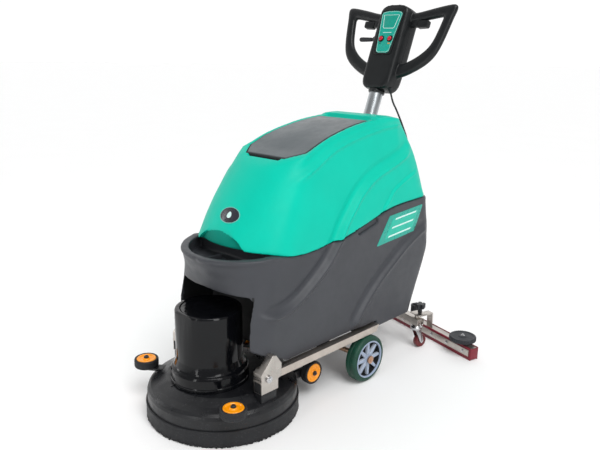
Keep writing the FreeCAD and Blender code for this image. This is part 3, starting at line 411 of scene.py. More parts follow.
def plate(outline, low, high, place, bevel=1.0, holes=(), steps=2):
    """A flat piece with rounded edges, between two heights, from outlines in mm on the place's XY."""
    curve = bpy.data.curves.new("plate", "CURVE")
    curve.dimensions = "2D"
    curve.fill_mode = "BOTH"
    for ring in (outline, *holes):
        line = curve.splines.new("POLY")
        line.points.add(len(ring) - 1)
        for point, (x, y) in zip(line.points, ring):
            point.co = (x * MM, y * MM, 0, 1)
        line.use_cyclic_u = True
    curve.bevel_depth = bevel * MM
    curve.bevel_resolution = steps
    curve.offset = -bevel * MM
    curve.extrude = max(0.00001, ((high - low) / 2 - bevel) * MM)
    obj = bpy.data.objects.new("plate", curve)
    bpy.context.scene.collection.objects.link(obj)
    mesh = evaluated(obj)
    work = bmesh.new()
    work.from_mesh(mesh)
    bmesh.ops.remove_doubles(work, verts=work.verts, dist=0.00002)
    bmesh.ops.recalc_face_normals(work, faces=work.faces)
    work.to_mesh(mesh)
    work.free()
    mesh.transform(place @ Matrix.Translation((0, 0, (low + high) / 2 * MM)))
    return mesh


def at(base, x, y, z):
    """A place moved along its own axes, in millimetres."""
    return base @ Matrix.Translation((x * MM, y * MM, z * MM))


def circle(x, y, radius, steps=32):
    return [(x + radius * math.cos(2 * math.pi * i / steps), y + radius * math.sin(2 * math.pi * i / steps))
            for i in range(steps)]


def box_outline(x0, y0, x1, y1, radius=0.0):
    corners = [(x0, y0), (x1, y0), (x1, y1), (x0, y1)]
    return [tuple(p) for p in rounded([Vector(c) for c in corners], radius)] if radius else corners


def hexagon(x, y, across, turn=0.0):
    reach = across / math.sqrt(3)
    turns = [turn + math.pi / 3 * i for i in range(6)]
    return [(x + reach * math.cos(t), y + reach * math.sin(t)) for t in turns]


def bolt(place, head=13.0, height=6.0, washer=9.0, turn=0.2):
    """A hex head on a washer, standing on the place's XY."""
    return joined(lathe([(0, 0), (washer, 0), (washer, 1.6), (0, 1.6)], place, 32, 0.4), plate(hexagon(0, 0,
            head, turn), 1.6, 1.6 + height, place, 0.8), lathe([(0, 1.6), (head * 0.3, 1.6), (head * 0.3,
            1.6 + height + 1.5), (0, 1.6 + height + 1.5)], place, 20, 0.5))


def plain(node):
    """A CAD node's shape as a fresh welded mesh."""
    source = frame["nodes"][node].data
    mesh = mesh_from(node, [v.co for v in source.vertices], [list(p.vertices) for p in source.polygons])
    work = bmesh.new()
    work.from_mesh(mesh)
    bmesh.ops.remove_doubles(work, verts=work.verts, dist=0.00001)
    work.to_mesh(mesh)
    work.free()
    return mesh


def refined(node, bevel=0.8, segments=2, angle=32):
    """A CAD node's shape with its edges rounded over."""
    mesh = plain(node)
    work = bmesh.new()
    work.from_mesh(mesh)
    bmesh.ops.dissolve_limit(work, angle_limit=math.radians(1.5), verts=work.verts, edges=work.edges)
    work.to_mesh(mesh)
    work.free()
    obj = temporary(mesh)
    edge = obj.modifiers.new("edge", "BEVEL")
    edge.width = bevel * MM
    edge.segments = segments
    edge.limit_method = "ANGLE"
    edge.angle_limit = math.radians(angle)
    edge.use_clamp_overlap = True
    flat = obj.modifiers.new("flat", "TRIANGULATE")
    flat.min_vertices = 5
    return evaluated(obj)


def rounded_node(name, node, body, material, bevel=0.8, segments=2):
    """A CAD node shown in its own place with its edges rounded over."""
    return piece(name, refined(node, bevel, segments), body, material, [node])


def fused(mesh, voxel, smoothing):
    """Closed shapes that overlap, made one skin with soft edges."""
    obj = temporary(mesh)
    skin = obj.modifiers.new("skin", "REMESH")
    skin.mode = "VOXEL"
    skin.voxel_size = voxel * MM
    soft = obj.modifiers.new("soft", "SMOOTH")
    soft.factor = 0.5
    soft.iterations = smoothing
    return evaluated(obj)


def faired(mesh, passes, calm=12.0, harsh=24.0):
    """Smooths the broad surfaces of a skin and leaves its edges alone."""
    count = len(mesh.vertices)
    edges = np.zeros(len(mesh.edges) * 2, np.int64)
    mesh.edges.foreach_get("vertices", edges)
    edges = edges.reshape(-1, 2)
    normals = np.zeros(count * 3)
    mesh.vertices.foreach_get("normal", normals)
    normals = normals.reshape(-1, 3)
    cosine = np.einsum("ij,ij->i", normals[edges[:, 0]], normals[edges[:, 1]])
    bend = np.degrees(np.arccos(np.clip(cosine, -1, 1)))
    worst = np.zeros(count)
    np.maximum.at(worst, edges[:, 0], bend)
    np.maximum.at(worst, edges[:, 1], bend)
    for _ in range(2):
        spread = worst.copy()
        np.maximum.at(spread, edges[:, 0], worst[edges[:, 1]])
        np.maximum.at(spread, edges[:, 1], worst[edges[:, 0]])
        worst = spread
    weight = np.clip((harsh - worst) / (harsh - calm), 0, 1)[:, None] * 0.6
    points = coordinates(mesh)
    degree = np.bincount(edges.ravel(), minlength=count)[:, None]
    for _ in range(passes):
        total = np.zeros_like(points)
        np.add.at(total, edges[:, 0], points[edges[:, 1]])
        np.add.at(total, edges[:, 1], points[edges[:, 0]])
        points += weight * (total / np.maximum(degree, 1) - points)
    mesh.vertices.foreach_set("co", points.ravel())
    mesh.update()
    return mesh


def coordinates(mesh):
    points = np.zeros(len(mesh.vertices) * 3)
    mesh.vertices.foreach_get("co", points)
    return points.reshape(-1, 3)


def vertex_normals(mesh):
    normals = np.zeros(len(mesh.vertices) * 3)
    mesh.vertices.foreach_get("normal", normals)
    return normals.reshape(-1, 3)


def shifted(mesh, points):
    mesh.vertices.foreach_set("co", points.ravel())
    mesh.update()
    return mesh


def thinned(mesh, ratio):
    obj = temporary(mesh)
    fewer = obj.modifiers.new("fewer", "DECIMATE")
    fewer.ratio = ratio
    return evaluated(obj)


def curve_through(points, per_span=12):
    """A smooth line through a few points (Catmull-Rom), as an array."""
    hand = [np.array(p, float) for p in points]
    hand = [2 * hand[0] - hand[1]] + hand + [2 * hand[-1] - hand[-2]]
    made = []
    for a, b, c, d in zip(hand, hand[1:], hand[2:], hand[3:]):
        for k in range(per_span):
            t = k / per_span
            made.append(0.5 * (2 * b + (c - a) * t + (2 * a - 5 * b + 4 * c - d) * t ** 2
                               + (3 * b - 3 * c + d - a) * t ** 3))
    made.append(hand[-2])
    return np.array(made)


def beside(points, line):
    """Signed distance of 2-D points from a line, with the share of the line's length reached there."""
    start, step = line[:-1], np.diff(line, axis=0)
    best = np.full(len(points), 1e9)
    sign = np.zeros(len(points))
    share = np.zeros(len(points))
    for i, (a, d) in enumerate(zip(start, step)):
        t = np.clip(((points - a) @ d) / (d @ d), 0, 1)
        away = points - a - t[:, None] * d
        far = np.hypot(away[:, 0], away[:, 1])
        closer = far < best
        best = np.where(closer, far, best)
        side = np.sign(d[0] * away[:, 1] - d[1] * away[:, 0])
        sign = np.where(closer, side, sign)
        share = np.where(closer, (i + t) / len(start), share)
    return best * sign, share


# ---------------------------------------------------------------- cable
CABLE_ROUTE = ((58, 822, 1052), (60, 831, 1020), (66, 855, 985), (82, 876, 925), (98, 892, 868), (97, 905,
        818), (86, 919, 762), (74, 938, 706), (66, 962, 652), (64, 985, 606), (66, 996, 568), (70, 985,
        537), (74, 959, 528))


def console_cable():
    glands = rounded_node("cable_gland_cones", "cable_glands", "chassis", RUBBER, 0.6)
    curve = bpy.data.curves.new("console_cable_run", "CURVE")
    curve.dimensions = "3D"
    curve.bevel_depth = 3.5 * MM
    curve.bevel_resolution = 4
    curve.resolution_u = 12
    line = curve.splines.new("NURBS")
    line.points.add(len(CABLE_ROUTE) - 1)
    for point, place in zip(line.points, CABLE_ROUTE):
        point.co = [c * MM for c in place] + [1]
    line.order_u = 3
    line.use_endpoint_u = True
    curve.materials.append(CABLE)
    run = bpy.data.objects.new("console_cable_run", curve)
    bpy.context.scene.collection.objects.link(run)
    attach(run, "chassis")
    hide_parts("console_cable")


# ---------------------------------------------------------------- tanks
def step(value, low, high):
    """0 below low, 1 above high, smooth between."""
    t = np.clip((value - low) / (high - low), 0, 1)
    return t * t * (3 - 2 * t)


# Each swoosh on the tanks' sides is a line (y, z) in millimetres, with how far the side behind it stands out,
# the width of its slope, and how far behind it the step dies away.
UPPER_SWOOSH = (((790, 955), (640, 947), (480, 922), (367, 894), (266, 850), (190, 812), (110, 768)), 11.0,
                18, 110, 0.66)
MAIN_SWOOSH = (((835, 870), (755, 836), (683, 812), (564, 777), (484, 732), (426, 680), (381, 633), (340,
        575), (288, 516), (241, 478), (194, 446), (150, 420), (104, 402), (50, 394), (-20, 402)), 14.0, 20,
               170, 0.93)
THIN_SWOOSH = (((850, 770), (753, 740), (678, 709), (639, 673), (596, 640)), 4.0, 8, 80, 0.85)
REAR_SWOOSH = (((900, 545), (820, 515), (745, 480), (680, 440), (592, 383), (524, 325), (471, 267), (436,
        215)), 10.0, 20, 150, 0.9)


def band(value, low, high):
    """One between two soft ends, each given as where it starts and stops, and zero outside them."""
    return step(value, *low) * (1 - step(value, *high))


def swooshes(mesh, lines):
    """Raises the outer sides of a tank behind each swoosh line."""
    points, normals = coordinates(mesh), vertex_normals(mesh)
    outer = step(normals[:, 0] * np.sign(points[:, 0]), 0.45, 0.8) * step(np.abs(points[:, 0]), 0.08, 0.13)
    flat = points[:, 1:]
    rise = np.zeros(len(points))
    for hand, height, slope, reach, front_end in lines:
        line = curve_through(np.array(hand) * MM)
        away, share = beside(flat, line)
        ends = step(share, 0.0, 0.07) * (1 - step(share, front_end, 1.0))
        behind = step(away, -slope / 2 * MM, slope / 2 * MM)
        fade = np.exp(-(np.maximum(away, 0) / (reach * MM)) ** 2)
        dip = -0.22 * np.exp(-((away + slope * 0.9 * MM) / (slope * 0.55 * MM)) ** 2)
        crest = 0.55 * np.exp(-((away - slope * 0.55 * MM) / (slope * 0.5 * MM)) ** 2)
        rise += height * MM * ends * (behind * fade + dip + crest)
    points[:, 0] += np.sign(points[:, 0]) * rise * outer
    return shifted(mesh, points)


# the scoop's arch, seen from the front, where the nose gets painted shade: its centre's height, its radius,
# its foot and how far back it goes
SCOOP_HEIGHT, SCOOP_RADIUS, SCOOP_FOOT, SCOOP_BACK = 0.481, 0.158, 0.583, 0.04
# the inside of the front arch, which gets painted shade: its half width, its front and rear, and its top
ARCH_HALF, ARCH_FRONT, ARCH_REAR, ARCH_TOP = 0.1835, -0.02, 0.114, 0.457


def recovery_tank():
    skin = faired(fused(plain("recovery_tank"), 3.2, 7), 90)
    skin = swooshes(skin, (UPPER_SWOOSH, MAIN_SWOOSH, THIN_SWOOSH))
    # a finger gap in front of the lid
    points = coordinates(skin)
    across = np.abs(points[:, 0])
    gap = band(points[:, 1], (0.186, 0.197), (0.206, 0.212)) * (1 - step(across, 0.066, 0.086))
    points[:, 2] -= 0.017 * gap * step(points[:, 2], 0.80, 0.83)
    # the deck behind the lid's hinge stands a little higher than the lid
    behind = band(points[:, 1], (0.637, 0.645), (0.70, 0.80))
    points[:, 2] += 0.009 * behind * (1 - step(across, 0.115, 0.15)) * step(points[:, 2], 0.86, 0.885)
    skin = thinned(shifted(skin, points), 0.3)
    shell = piece("recovery_tank_shell", skin, "recovery", GREEN, ["recovery_tank"],
                  angle=48)
    # the arched scoop in the nose has a coarser grain and a darker green, painted shade for the shadow in the
    # scoop
    skin.materials.append(GREEN_SCOOP_PAINTED_SHADE)
    for face in skin.polygons:
        middle = face.center
        inside = math.hypot(middle.x, middle.z - SCOOP_HEIGHT) < SCOOP_RADIUS
        if inside and middle.y < SCOOP_BACK and middle.z > SCOOP_FOOT:
            face.material_index = 1
    return shell


def solution_tank():
    skin = faired(fused(plain("solution_tank"), 3.6, 5), 50)
    skin = swooshes(skin, (MAIN_SWOOSH, REAR_SWOOSH))
    points, normals = coordinates(skin), vertex_normals(skin)
    # a rolled lip round the fill bowl
    rim_height = (0.570 + 0.012 * step(points[:, 1], -0.1, 0.06))
    lip = np.exp(-((points[:, 2] - rim_height + 0.006) / 0.009) ** 2) * (1 - step(points[:, 1], 0.03, 0.16))
    facing_out = step(normals[:, 1] * -1 + np.abs(normals[:, 0]), 0.3, 0.7)
    outer = facing_out * step(0.02 - points[:, 1] + 3 * np.abs(points[:, 0]), 0.1, 0.2)
    across = normals.copy()
    across[:, 2] = 0
    points += across * (0.0045 * lip * outer)[:, None]
    skin = thinned(shifted(skin, points), 0.3)
    shell = piece("solution_tank_shell", skin, "chassis", GREY, ["solution_tank"], angle=48)
    # the inside of the front arch is painted a darker grey, painted shade for the shadow inside the arch
    skin.materials.append(GREY_PAINTED_SHADE)
    for face in skin.polygons:
        middle = face.center
        if abs(middle.x) < ARCH_HALF and ARCH_FRONT < middle.y < ARCH_REAR and middle.z < ARCH_TOP:
            face.material_index = 1
    return shell


def tank_lid():
    skin = faired(fused(plain("tank_lid"), 2.4, 5), 20)
    points, normals = coordinates(skin), vertex_normals(skin)
    points[:, :2] -= 0.0022 * normals[:, :2]
    crown = 1 - step(np.abs(points[:, 0] + 0.03), 0.0, 0.11)
    points[:, 2] += 0.002 + 0.004 * crown * step(points[:, 1], 0.21, 0.30) * (1 - step(points[:, 1], 0.5,
            0.61))
    skin = thinned(shifted(skin, points), 0.5)
    # painted shade: a dark rubber copy of the lid, pushed out into the gap round it, stands for the shadow in
    # that gap
    gap_painted_shade = skin.copy()
    points, normals = coordinates(gap_painted_shade), vertex_normals(gap_painted_shade)
    sideways = 1 - step(normals[:, 2], 0.3, 0.6)
    points[:, :2] += 0.0070 * normals[:, :2] * sideways[:, None]
    points[:, 2] -= 0.0014
    piece("lid_seal", shifted(gap_painted_shade, points), "lid", RUBBER, angle=48)
    return piece("tank_lid_panel", skin, "lid", LID, ["tank_lid"], angle=48)


def on_surface(target, start, way):
    """Where a ray from start meets the target's mesh, and the surface normal there."""
    hit, place, normal, _ = target.ray_cast(start, way)
    return (place, normal) if hit else (None, None)


def sticker(name, target, outline, place, lift, material, body, thick=0.5, holes=()):
    """A thin film wrapped on a surface: its outline is in millimetres on the place's own plane."""
    flat = plate(outline, 0, thick, WORLD, 0.15, holes)
    work = bmesh.new()
    work.from_mesh(flat)
    bmesh.ops.triangulate(work, faces=work.faces[:])
    for _ in range(4):
        long_edges = [e for e in work.edges if e.calc_length() > 0.012]
        if not long_edges:
            break
        bmesh.ops.subdivide_edges(work, edges=long_edges, cuts=1)
        bmesh.ops.triangulate(work, faces=[f for f in work.faces if len(f.verts) > 3])
    out = place.to_3x3() @ Z_AXIS
    for vert in work.verts:
        above = place @ Vector((vert.co.x, vert.co.y, 0.1))
        spot, _ = on_surface(target, above, -out)
        spot = spot or place @ Vector((vert.co.x, vert.co.y, 0))
        vert.co = spot + out * (vert.co.z + lift * MM)
    bmesh.ops.recalc_face_normals(work, faces=work.faces)
    work.to_mesh(flat)
    work.free()
    return piece(name, flat, body, material, angle=30)


DECAL = ((861, 627), (642, 615), (569, 509), (811, 525))


def decal_point(u, v):
    """A point of the decal: u from its front edge to its rear, v from its foot to its top."""
    rear_top, front_top, front_foot, rear_foot = [Vector(p) for p in DECAL]
    return tuple(front_foot.lerp(rear_foot, u).lerp(front_top.lerp(rear_top, u), v))


def decals(tank):
    for side, label in ((1, "left"), (-1, "right")):
        place = basis(Vector((side * 0.207, 0, 0)), Y_AXIS * side, Z_AXIS, X_AXIS * side)

        def patch(name, corners, lift, material, radius=0.0, thick=0.3):
            outline = [Vector(decal_point(u, v)) for u, v in corners]
            outline = [(side * p.x, p.y) for p in (rounded(outline, radius) if radius else outline)]
            sticker(f"decal_{label}_{name}", tank, outline, place, lift, material, "chassis",
                    thick)

        patch("sheet", ((0, 0), (1, 0), (1, 1), (0, 1)), 0.2, FILM, 5, 0.5)
        patch("inner", ((0.16, 0.15), (0.9, 0.15), (0.9, 0.85), (0.16, 0.85)), 0.7, DECAL_GREEN, 3)
        patch("stripe_low", ((0.24, 0.17), (0.84, 0.17), (0.84, 0.23), (0.24, 0.23)), 1.05, FILM_LINE)
        patch("stripe_high", ((0.24, 0.77), (0.84, 0.77), (0.84, 0.83), (0.24, 0.83)), 1.05, FILM_LINE)
        patch("stripe_middle", ((0.24, 0.47), (0.84, 0.47), (0.84, 0.53), (0.24, 0.53)), 1.05, FILM_LINE)


def badge(tank):
    """A plain oval badge with one pale water drop on it, on the recovery tank's nose."""
    spot, normal = on_surface(tank, Vector((BADGE[0] * MM, -0.6, BADGE[1] * MM)), Y_AXIS)
    across = Z_AXIS.cross(normal).normalized()
    place = basis(spot, across, normal.cross(across), normal)

    def oval(wide, high):
        return [(wide * math.cos(math.tau * i / 48), high * math.sin(math.tau * i / 48)) for i in range(48)]

    drop = [(9.5 * math.sin(t), 9 * math.cos(t) + 4.5 * max(0, math.cos(t)) ** 3 - 2)
            for t in (math.tau * i / 40 for i in range(40))]
    sticker("badge_rim", tank, oval(44, 28.5), place, 0.2, BADGE_RIM, "recovery", 1.0)
    sticker("badge_face", tank, oval(41.6, 26.2), place, 1.0, BADGE_DARK, "recovery", 0.8)
    sticker("badge_drop", tank, drop, place, 1.7, FILM_LINE, "recovery", 0.6)


BADGE = (17, 690)


# ---------------------------------------------------------------- deck
DECK = turned_to((0, 0, 0), Z_AXIS)
DOME_OUTLINE = [(258.6, 53), (258.6, 92), (255, 103), (246, 111), (235, 115), (222, 120), (192, 136), (150,
        138), (30, 138), (30, 131), (190, 131), (233, 109), (250, 96), (252, 53)]


def deck():
    shell = lathe(DOME_OUTLINE, DECK, 144, 4)
    feet = []
    for side in (-1, 1):
        outline = box_outline(side * 220 - 17, -35, side * 220 + 17, 33, 5)
        feet.append(plate(outline, 108, 146.5, WORLD, 2.5))
    ribs = []
    for turn in (-62, -112, 20, 160, 215, 300):
        spoke = turned_to((0, 0, 0), Z_AXIS) @ Matrix.Rotation(math.radians(turn), 4, "Z")
        ribs.append(plate(box_outline(150, -3, 196, 3, 1), 134, 138.6, spoke, 1))
    piece("deck_dome", joined(shell, *feet, *ribs), "deck", DECK_BLACK, ["deck_cover"])
    skirt = lathe([(256, 9), (262.6, 9), (263.6, 12), (263.2, 50), (264.4, 53), (264, 56.5), (261.5, 57.8),
                   (256, 57.8)], DECK, 144, 1.0)
    piece("skirt_band", skirt, "deck", SKIRT, ["splash_skirt"])
    tufts_points, tufts_faces = [], []
    count = 190
    for ring, radius in enumerate((257.4, 260.2, 262.4)):
        for i in range(count):
            turn = math.tau * (i + 0.33 * ring + random.uniform(-0.12, 0.12)) / count
            width = math.tau / count * random.uniform(0.40, 0.56)
            foot = random.uniform(0.6, 6.5)
            splay = random.uniform(-1.0, 2.0)
            start = len(tufts_points)
            for height, lean, narrow in ((16, 0.0, 1.0), (foot + 2.5, splay * 0.8, 0.9), (foot, splay, 0.55)):
                for edge, out in ((-1, -1.2), (1, -1.2), (1, 1.2), (-1, 1.2)):
                    angle = turn + edge * width * narrow
                    far = (radius + out * narrow + lean) * MM
                    tufts_points.append(Vector((far * math.cos(angle), far * math.sin(angle), height * MM)))
            tufts_faces += [[start + k for k in (0, 3, 2, 1)], [start + k for k in (8, 9, 10, 11)]]
            for level in (0, 4):
                for k in range(4):
                    a, b = start + level + k, start + level + (k + 1) % 4
                    tufts_faces.append([a, b, b + 4, a + 4])
    fringe = outward(mesh_from("fringe", tufts_points, tufts_faces))
    piece("skirt_fringe", fringe, "deck", BRISTLE, angle=30)


def brush():
    tufts = []
    for radius, count in ((238, 84), (216, 76), (194, 68), (172, 60), (150, 52), (128, 44), (106, 36)):
        for i in range(count):
            turn = math.tau * i / count + radius
            place = Matrix.Translation((radius * MM * math.cos(turn), radius * MM * math.sin(turn), 0))
            tufts.append(lathe([(0, 0), (7.5, 0), (6.2, 14), (5.4, 38), (0, 38)], place, 7))
    disc = lathe([(70, 36), (244, 36), (246, 40), (60, 40)], DECK, 96, 1)
    piece("brush_tufts", joined(disc, *tufts), "brush", BRISTLE, ["scrub_brush"])
    rounded_node("brush_back", "brush_disc", "brush", BLACK, 1.2)


def motor_cover():
    centre = (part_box("motor_cover")[0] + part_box("motor_cover")[1]) / 2
    place = Matrix.Translation((0, centre.y, 0))
    outline = [(133, 136), (133, 150), (131.5, 153), (131.5, 181), (129, 188), (122, 193), (119, 198), (116,
            208), (113, 220), (112.4, 236), (112, 300), (112, 383), (109.5, 388.5), (104, 390.5), (95,
            390.5), (92, 388), (0, 389), (0, 384), (95, 384), (95, 206), (120, 186), (120, 136)]
    shell = lathe(outline, place, 160, 3.2)
    points = coordinates(shell)
    lean = math.tan(math.radians(6.5))
    plane = centre.y - 0.112 + lean * np.maximum(points[:, 2] - 0.300, -0.02)
    wall = (points[:, 2] > 0.296) & (points[:, 1] < centre.y - 0.06)
    points[:, 1] = np.where(wall, np.maximum(points[:, 1], plane), points[:, 1])
    shell = shifted(shell, points)
    piece("motor_cover_shell", shell, "deck", GLOSS_BLACK, ["motor_cover"], angle=40)


def roller_place(joint, node):
    """A roller's place: the joint's axis, standing at the roller's inner face."""
    low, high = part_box(node)
    axis = Vector(joints[joint]["axis"])
    middle = (low + high) / 2
    if abs(axis.x) > 0.5:
        inner = low.x if middle.x > 0 else high.x
        return turned_to((inner, middle.y, middle.z), (math.copysign(1, middle.x), 0, 0))
    return turned_to((middle.x, middle.y, low.z), Z_AXIS)


def small_rollers():
    for name, joint in (("bumper", "bumper_{}_spin"), ("guide", "guide_{}_spin")):
        for side in ("left", "right"):
            body = f"{name}_{side}"
            place = roller_place(joint.format(side), f"{body}_tyre")
            hub = lathe([(6.1, 2), (34, 2), (34, 27.5), (32.5, 29.6), (30, 30.2), (27, 30), (24.5, 27.5),
                         (22.5, 26.6), (14, 26.6), (12.5, 29.2), (11, 30.6), (6.1, 30.6)], place, 72, 0.7)
            piece(f"{body}_hub_disc", hub, body, ORANGE, [f"{body}_hub"])
            tyre = lathe([(34, 2), (36, 0.4), (39, 0), (41, 1.4), (42.5, 5), (42.5, 13.4), (41.9, 14.2),
                          (41.9, 15.8), (42.5, 16.6), (42.5, 25), (41, 28.6), (39, 30), (36, 29.6), (34,
                    28)], place, 96, 1.0)
            piece(f"{body}_tyre_ring", tyre, body, RUBBER, [f"{body}_tyre"])
    heads = []
    for side in ("left", "right"):
        for name in ("bumper", "guide"):
            place = roller_place(f"{name}_{side}_spin", f"{name}_{side}_tyre")
            heads.append(moved(bolt(Matrix.Identity(4), 13, 5, 9), place @ Matrix.Translation((0, 0,
                    30.9 * MM))))
    piece("roller_bolt_heads", joined(refined("roller_bolts", 0.6), *heads), "deck", BLACK,
          ["roller_bolts"])
    rounded_node("roller_arm_plates", "roller_arms", "deck", DECK_BLACK, 2.0)


# ---------------------------------------------------------------- chassis
def chassis():
    rails = refined("chassis_rails", 1.6, 3)
    points = coordinates(rails)
    low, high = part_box("chassis_rails")
    end = step(points[:, 1], high.y - 0.02, high.y) * (1 - (points[:, 2] - low.z) / (high.z - low.z))
    points[:, 1] -= 0.018 * end
    piece("frame_rails", shifted(rails, points), "chassis", STEEL, ["chassis_rails"])
    for side in ("left", "right"):
        rounded_node(f"bracket_{side}", f"deck_bracket_{side}", "deck", STEEL_ACROSS, 0.9, 3)
        low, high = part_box(f"deck_bracket_{side}")
        # painted shade: a thin dark plate across each bracket's mouth stands for the shadow inside the
        # channel
        throat_painted_shade = box_outline(low.x / MM + 5, 150, high.x / MM - 5, 186, 1.5)
        mouth = basis(Vector((0, low.y, 0)), X_AXIS, Z_AXIS, -Y_AXIS)
        piece(f"bracket_{side}_throat", plate(throat_painted_shade, -3, 0.8, mouth, 0.2), "deck", GREY_PAINTED_SHADE)
        lip = box_outline(low.x / MM + 1, 186, high.x / MM - 1, 190, 1)
        piece(f"bracket_{side}_lip", plate(lip, -3, 2.2, mouth, 0.8), "deck", STEEL_ACROSS)
    pivot = Vector(joints["deck_float"]["pos_m"])
    heads = []
    for sign in (-1, 1):
        place = turned_to((sign * 0.2395, pivot.y, pivot.z), (sign, 0, 0))
        heads.append(bolt(place, 17, 7, 12, 0.3))
    piece("pivot_bolts", joined(refined("deck_pivot_bolts", 0.6), *heads), "chassis", CHROME,
          ["deck_pivot_bolts"])
    rounded_node("frame_bars", "frame_crossbars", "chassis", CAST, 1.2)
    rounded_node("axle_plates", "axle_brackets", "chassis", CAST, 1.0)
    nuts = []
    for sign in (-1, 1):
        place = turned_to((sign * 0.2495, joints["wheel_left_spin"]["pos_m"][1], 0.09), (sign, 0, 0))
        nuts.append(bolt(place, 15, 7, 10, 0.1))
    piece("axle_rod", joined(refined("main_axle", 0.8), *nuts), "chassis", COPPER,
          ["main_axle"])
    rounded_node("column_post_plates", "column_post", "chassis", STEEL, 1.2)
    rounded_node("battery_cases", "batteries", "chassis", BATTERY, 5, 3)
    low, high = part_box("batteries")
    posts, caps = [], []
    for sign in (-1, 1):
        for y in (low.y + 0.035, high.y - 0.035):
            place = Matrix.Translation((sign * 0.092 + 0.045 * (1 if y > 0.4 else -1), y, high.z))
            posts.append(bolt(place, 12, 6, 10, 0.4))
        for i in range(6):
            caps.append(lathe([(0, 0), (12, 0), (12, 3), (10, 5), (0, 5)],
                              Matrix.Translation((sign * 0.092, low.y + 0.045 + 0.034 * i, high.z)), 24, 1))
    piece("battery_terminals", joined(*posts), "chassis", CHROME)
    piece("battery_caps", joined(*caps), "chassis", MAROON)
    rounded_node("vacuum_motor_can", "vacuum_motor", "chassis", CAST, 3, 3)
    rounded_node("drive_motor_body", "drive_motor", "deck", CAST, 2, 3)
    cap_low, cap_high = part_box("filler_cap")
    centre = (cap_low + cap_high) / 2
    place = Matrix.Translation((centre.x, centre.y, cap_low.z))
    radius = (cap_high.x - cap_low.x) / 2 / MM
    top = (cap_high.z - cap_low.z) / MM
    flutes = [plate(box_outline(-4, -radius * 0.62, 4, radius * 0.62, 3), 10, top, place, 1.5)]
    cap = lathe([(0, 0), (radius, 0), (radius, 8), (radius - 3, 11), (radius - 11, 12.5), (radius - 15,
            10.5), (0, 10.5)], place, 72, 1.2)
    piece("filler_cap_lid", joined(cap, *flutes), "filler", BLACK, ["filler_cap"])


def main_wheels():
    for side, sign in (("left", 1), ("right", -1)):
        low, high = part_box(f"wheel_tyre_{side}")
        centre = (low + high) / 2
        inner = low.x if sign > 0 else high.x
        place = turned_to((inner, centre.y, centre.z), (sign, 0, 0))
        tyre = lathe([(72, 0), (79, 0.4), (85, 2.4), (88.4, 6), (90, 11), (90, 19), (88.4, 20.6), (88.4,
                22), (90, 23.6), (90, 37), (88.4, 42), (85, 45.6), (79, 47.6), (76.2, 47.9), (75.4, 46.6),
                      (74.4, 48.2), (72, 48.2)], place, 128, 1.0)
        piece(f"tyre_{side}", tyre, f"wheel_{side}", GREEN_TYRE, [f"wheel_tyre_{side}"])
        ring = lathe([(65.5, 4), (72, 2), (72, 48.6), (69.5, 50), (66.5, 49), (65.5, 45)], place, 96, 0.8)
        hub = lathe([(6.2, 3), (17, 3), (18, 8), (18, 41), (16, 44.5), (12, 46), (6.2, 46)], place, 64, 1.0)
        spokes = [plate([(14, -7), (67, -4.6), (67, 4.6), (14, 7)], 31, 43,
                        place @ Matrix.Rotation(turn * math.pi / 4, 4, "Z"), 1.4) for turn in range(8)]
        piece(f"rim_{side}", joined(ring, hub, *spokes), f"wheel_{side}", RIM,
              [f"wheel_rim_{side}"])
        # painted shade: a dark disc behind the spokes stands for the shadow seen through the rim's windows
        window_painted_shade = lathe([(17, 30), (63, 30), (63.6, 44), (65.8, 44), (65.8, 27), (17, 27)], place, 72, 0.3)
        piece(f"rim_{side}_backing", window_painted_shade, f"wheel_{side}", GREY_PAINTED_SHADE)


# ---------------------------------------------------------------- column and console
GRIP_PAIRS = (((36, 50), (56, 112)), ((80, 58), (84, 116)), ((118, 72), (110, 127)), ((162, 97), (139,
        144)), ((197, 124), (165, 165)), ((220, 156), (184, 187)), ((234, 196), (196, 213)), ((244, 242),
        (204, 245)), ((254, 300), (211, 283)), ((262, 345), (213, 301)), ((238, 353), (202, 303)), ((170,
        341), (160, 296)), ((98, 325), (100, 286)), ((56, 322), (56, 282)))
CASE_LEVELS = ((-50, 1.04, 8), (-47, 1.1, 3), (-38, 1.15, 0), (-7, 1.13, 0), (14, 1.08, 0), (22, 1.0, 0),
               (29, 0.95, 0), (32, 0.93, 3), (33, 0.92, 6))
CASE_OUTLINE = ((44, 4), (60, 16), (67, 34), (69, 60), (69, 157), (66.5, 320), (60, 333), (46, 341), (20,
        345))


def grip(side):
    """One D-shaped grip: oval sections between its outer and inner outlines."""
    outer = curve_through([p for p, _ in GRIP_PAIRS], 5)
    inner = curve_through([q for _, q in GRIP_PAIRS], 5)
    around = 20
    points, faces = [], []
    for far, near in zip(outer, inner):
        middle, reach = (far + near) / 2, (far - near) / 2
        for k in range(around):
            turn = math.tau * k / around
            blunt = 2 / 2.6
            a = math.copysign(abs(math.cos(turn)) ** blunt, math.cos(turn))
            b = math.copysign(abs(math.sin(turn)) ** blunt, math.sin(turn))
            spot = middle + reach * a
            points.append(CONSOLE @ Vector((side * spot[0] * MM, spot[1] * MM, (-7 + 15 * b) * MM)))
    rows = len(outer)
    for i in range(rows - 1):
        for k in range(around):
            j = (k + 1) % around
            faces.append([i * around + k, i * around + j, (i + 1) * around + j, (i + 1) * around + k])
    faces.append(list(range(around)))
    faces.append([(rows - 1) * around + k for k in reversed(range(around))])
    return outward(mesh_from("grip", points, faces))


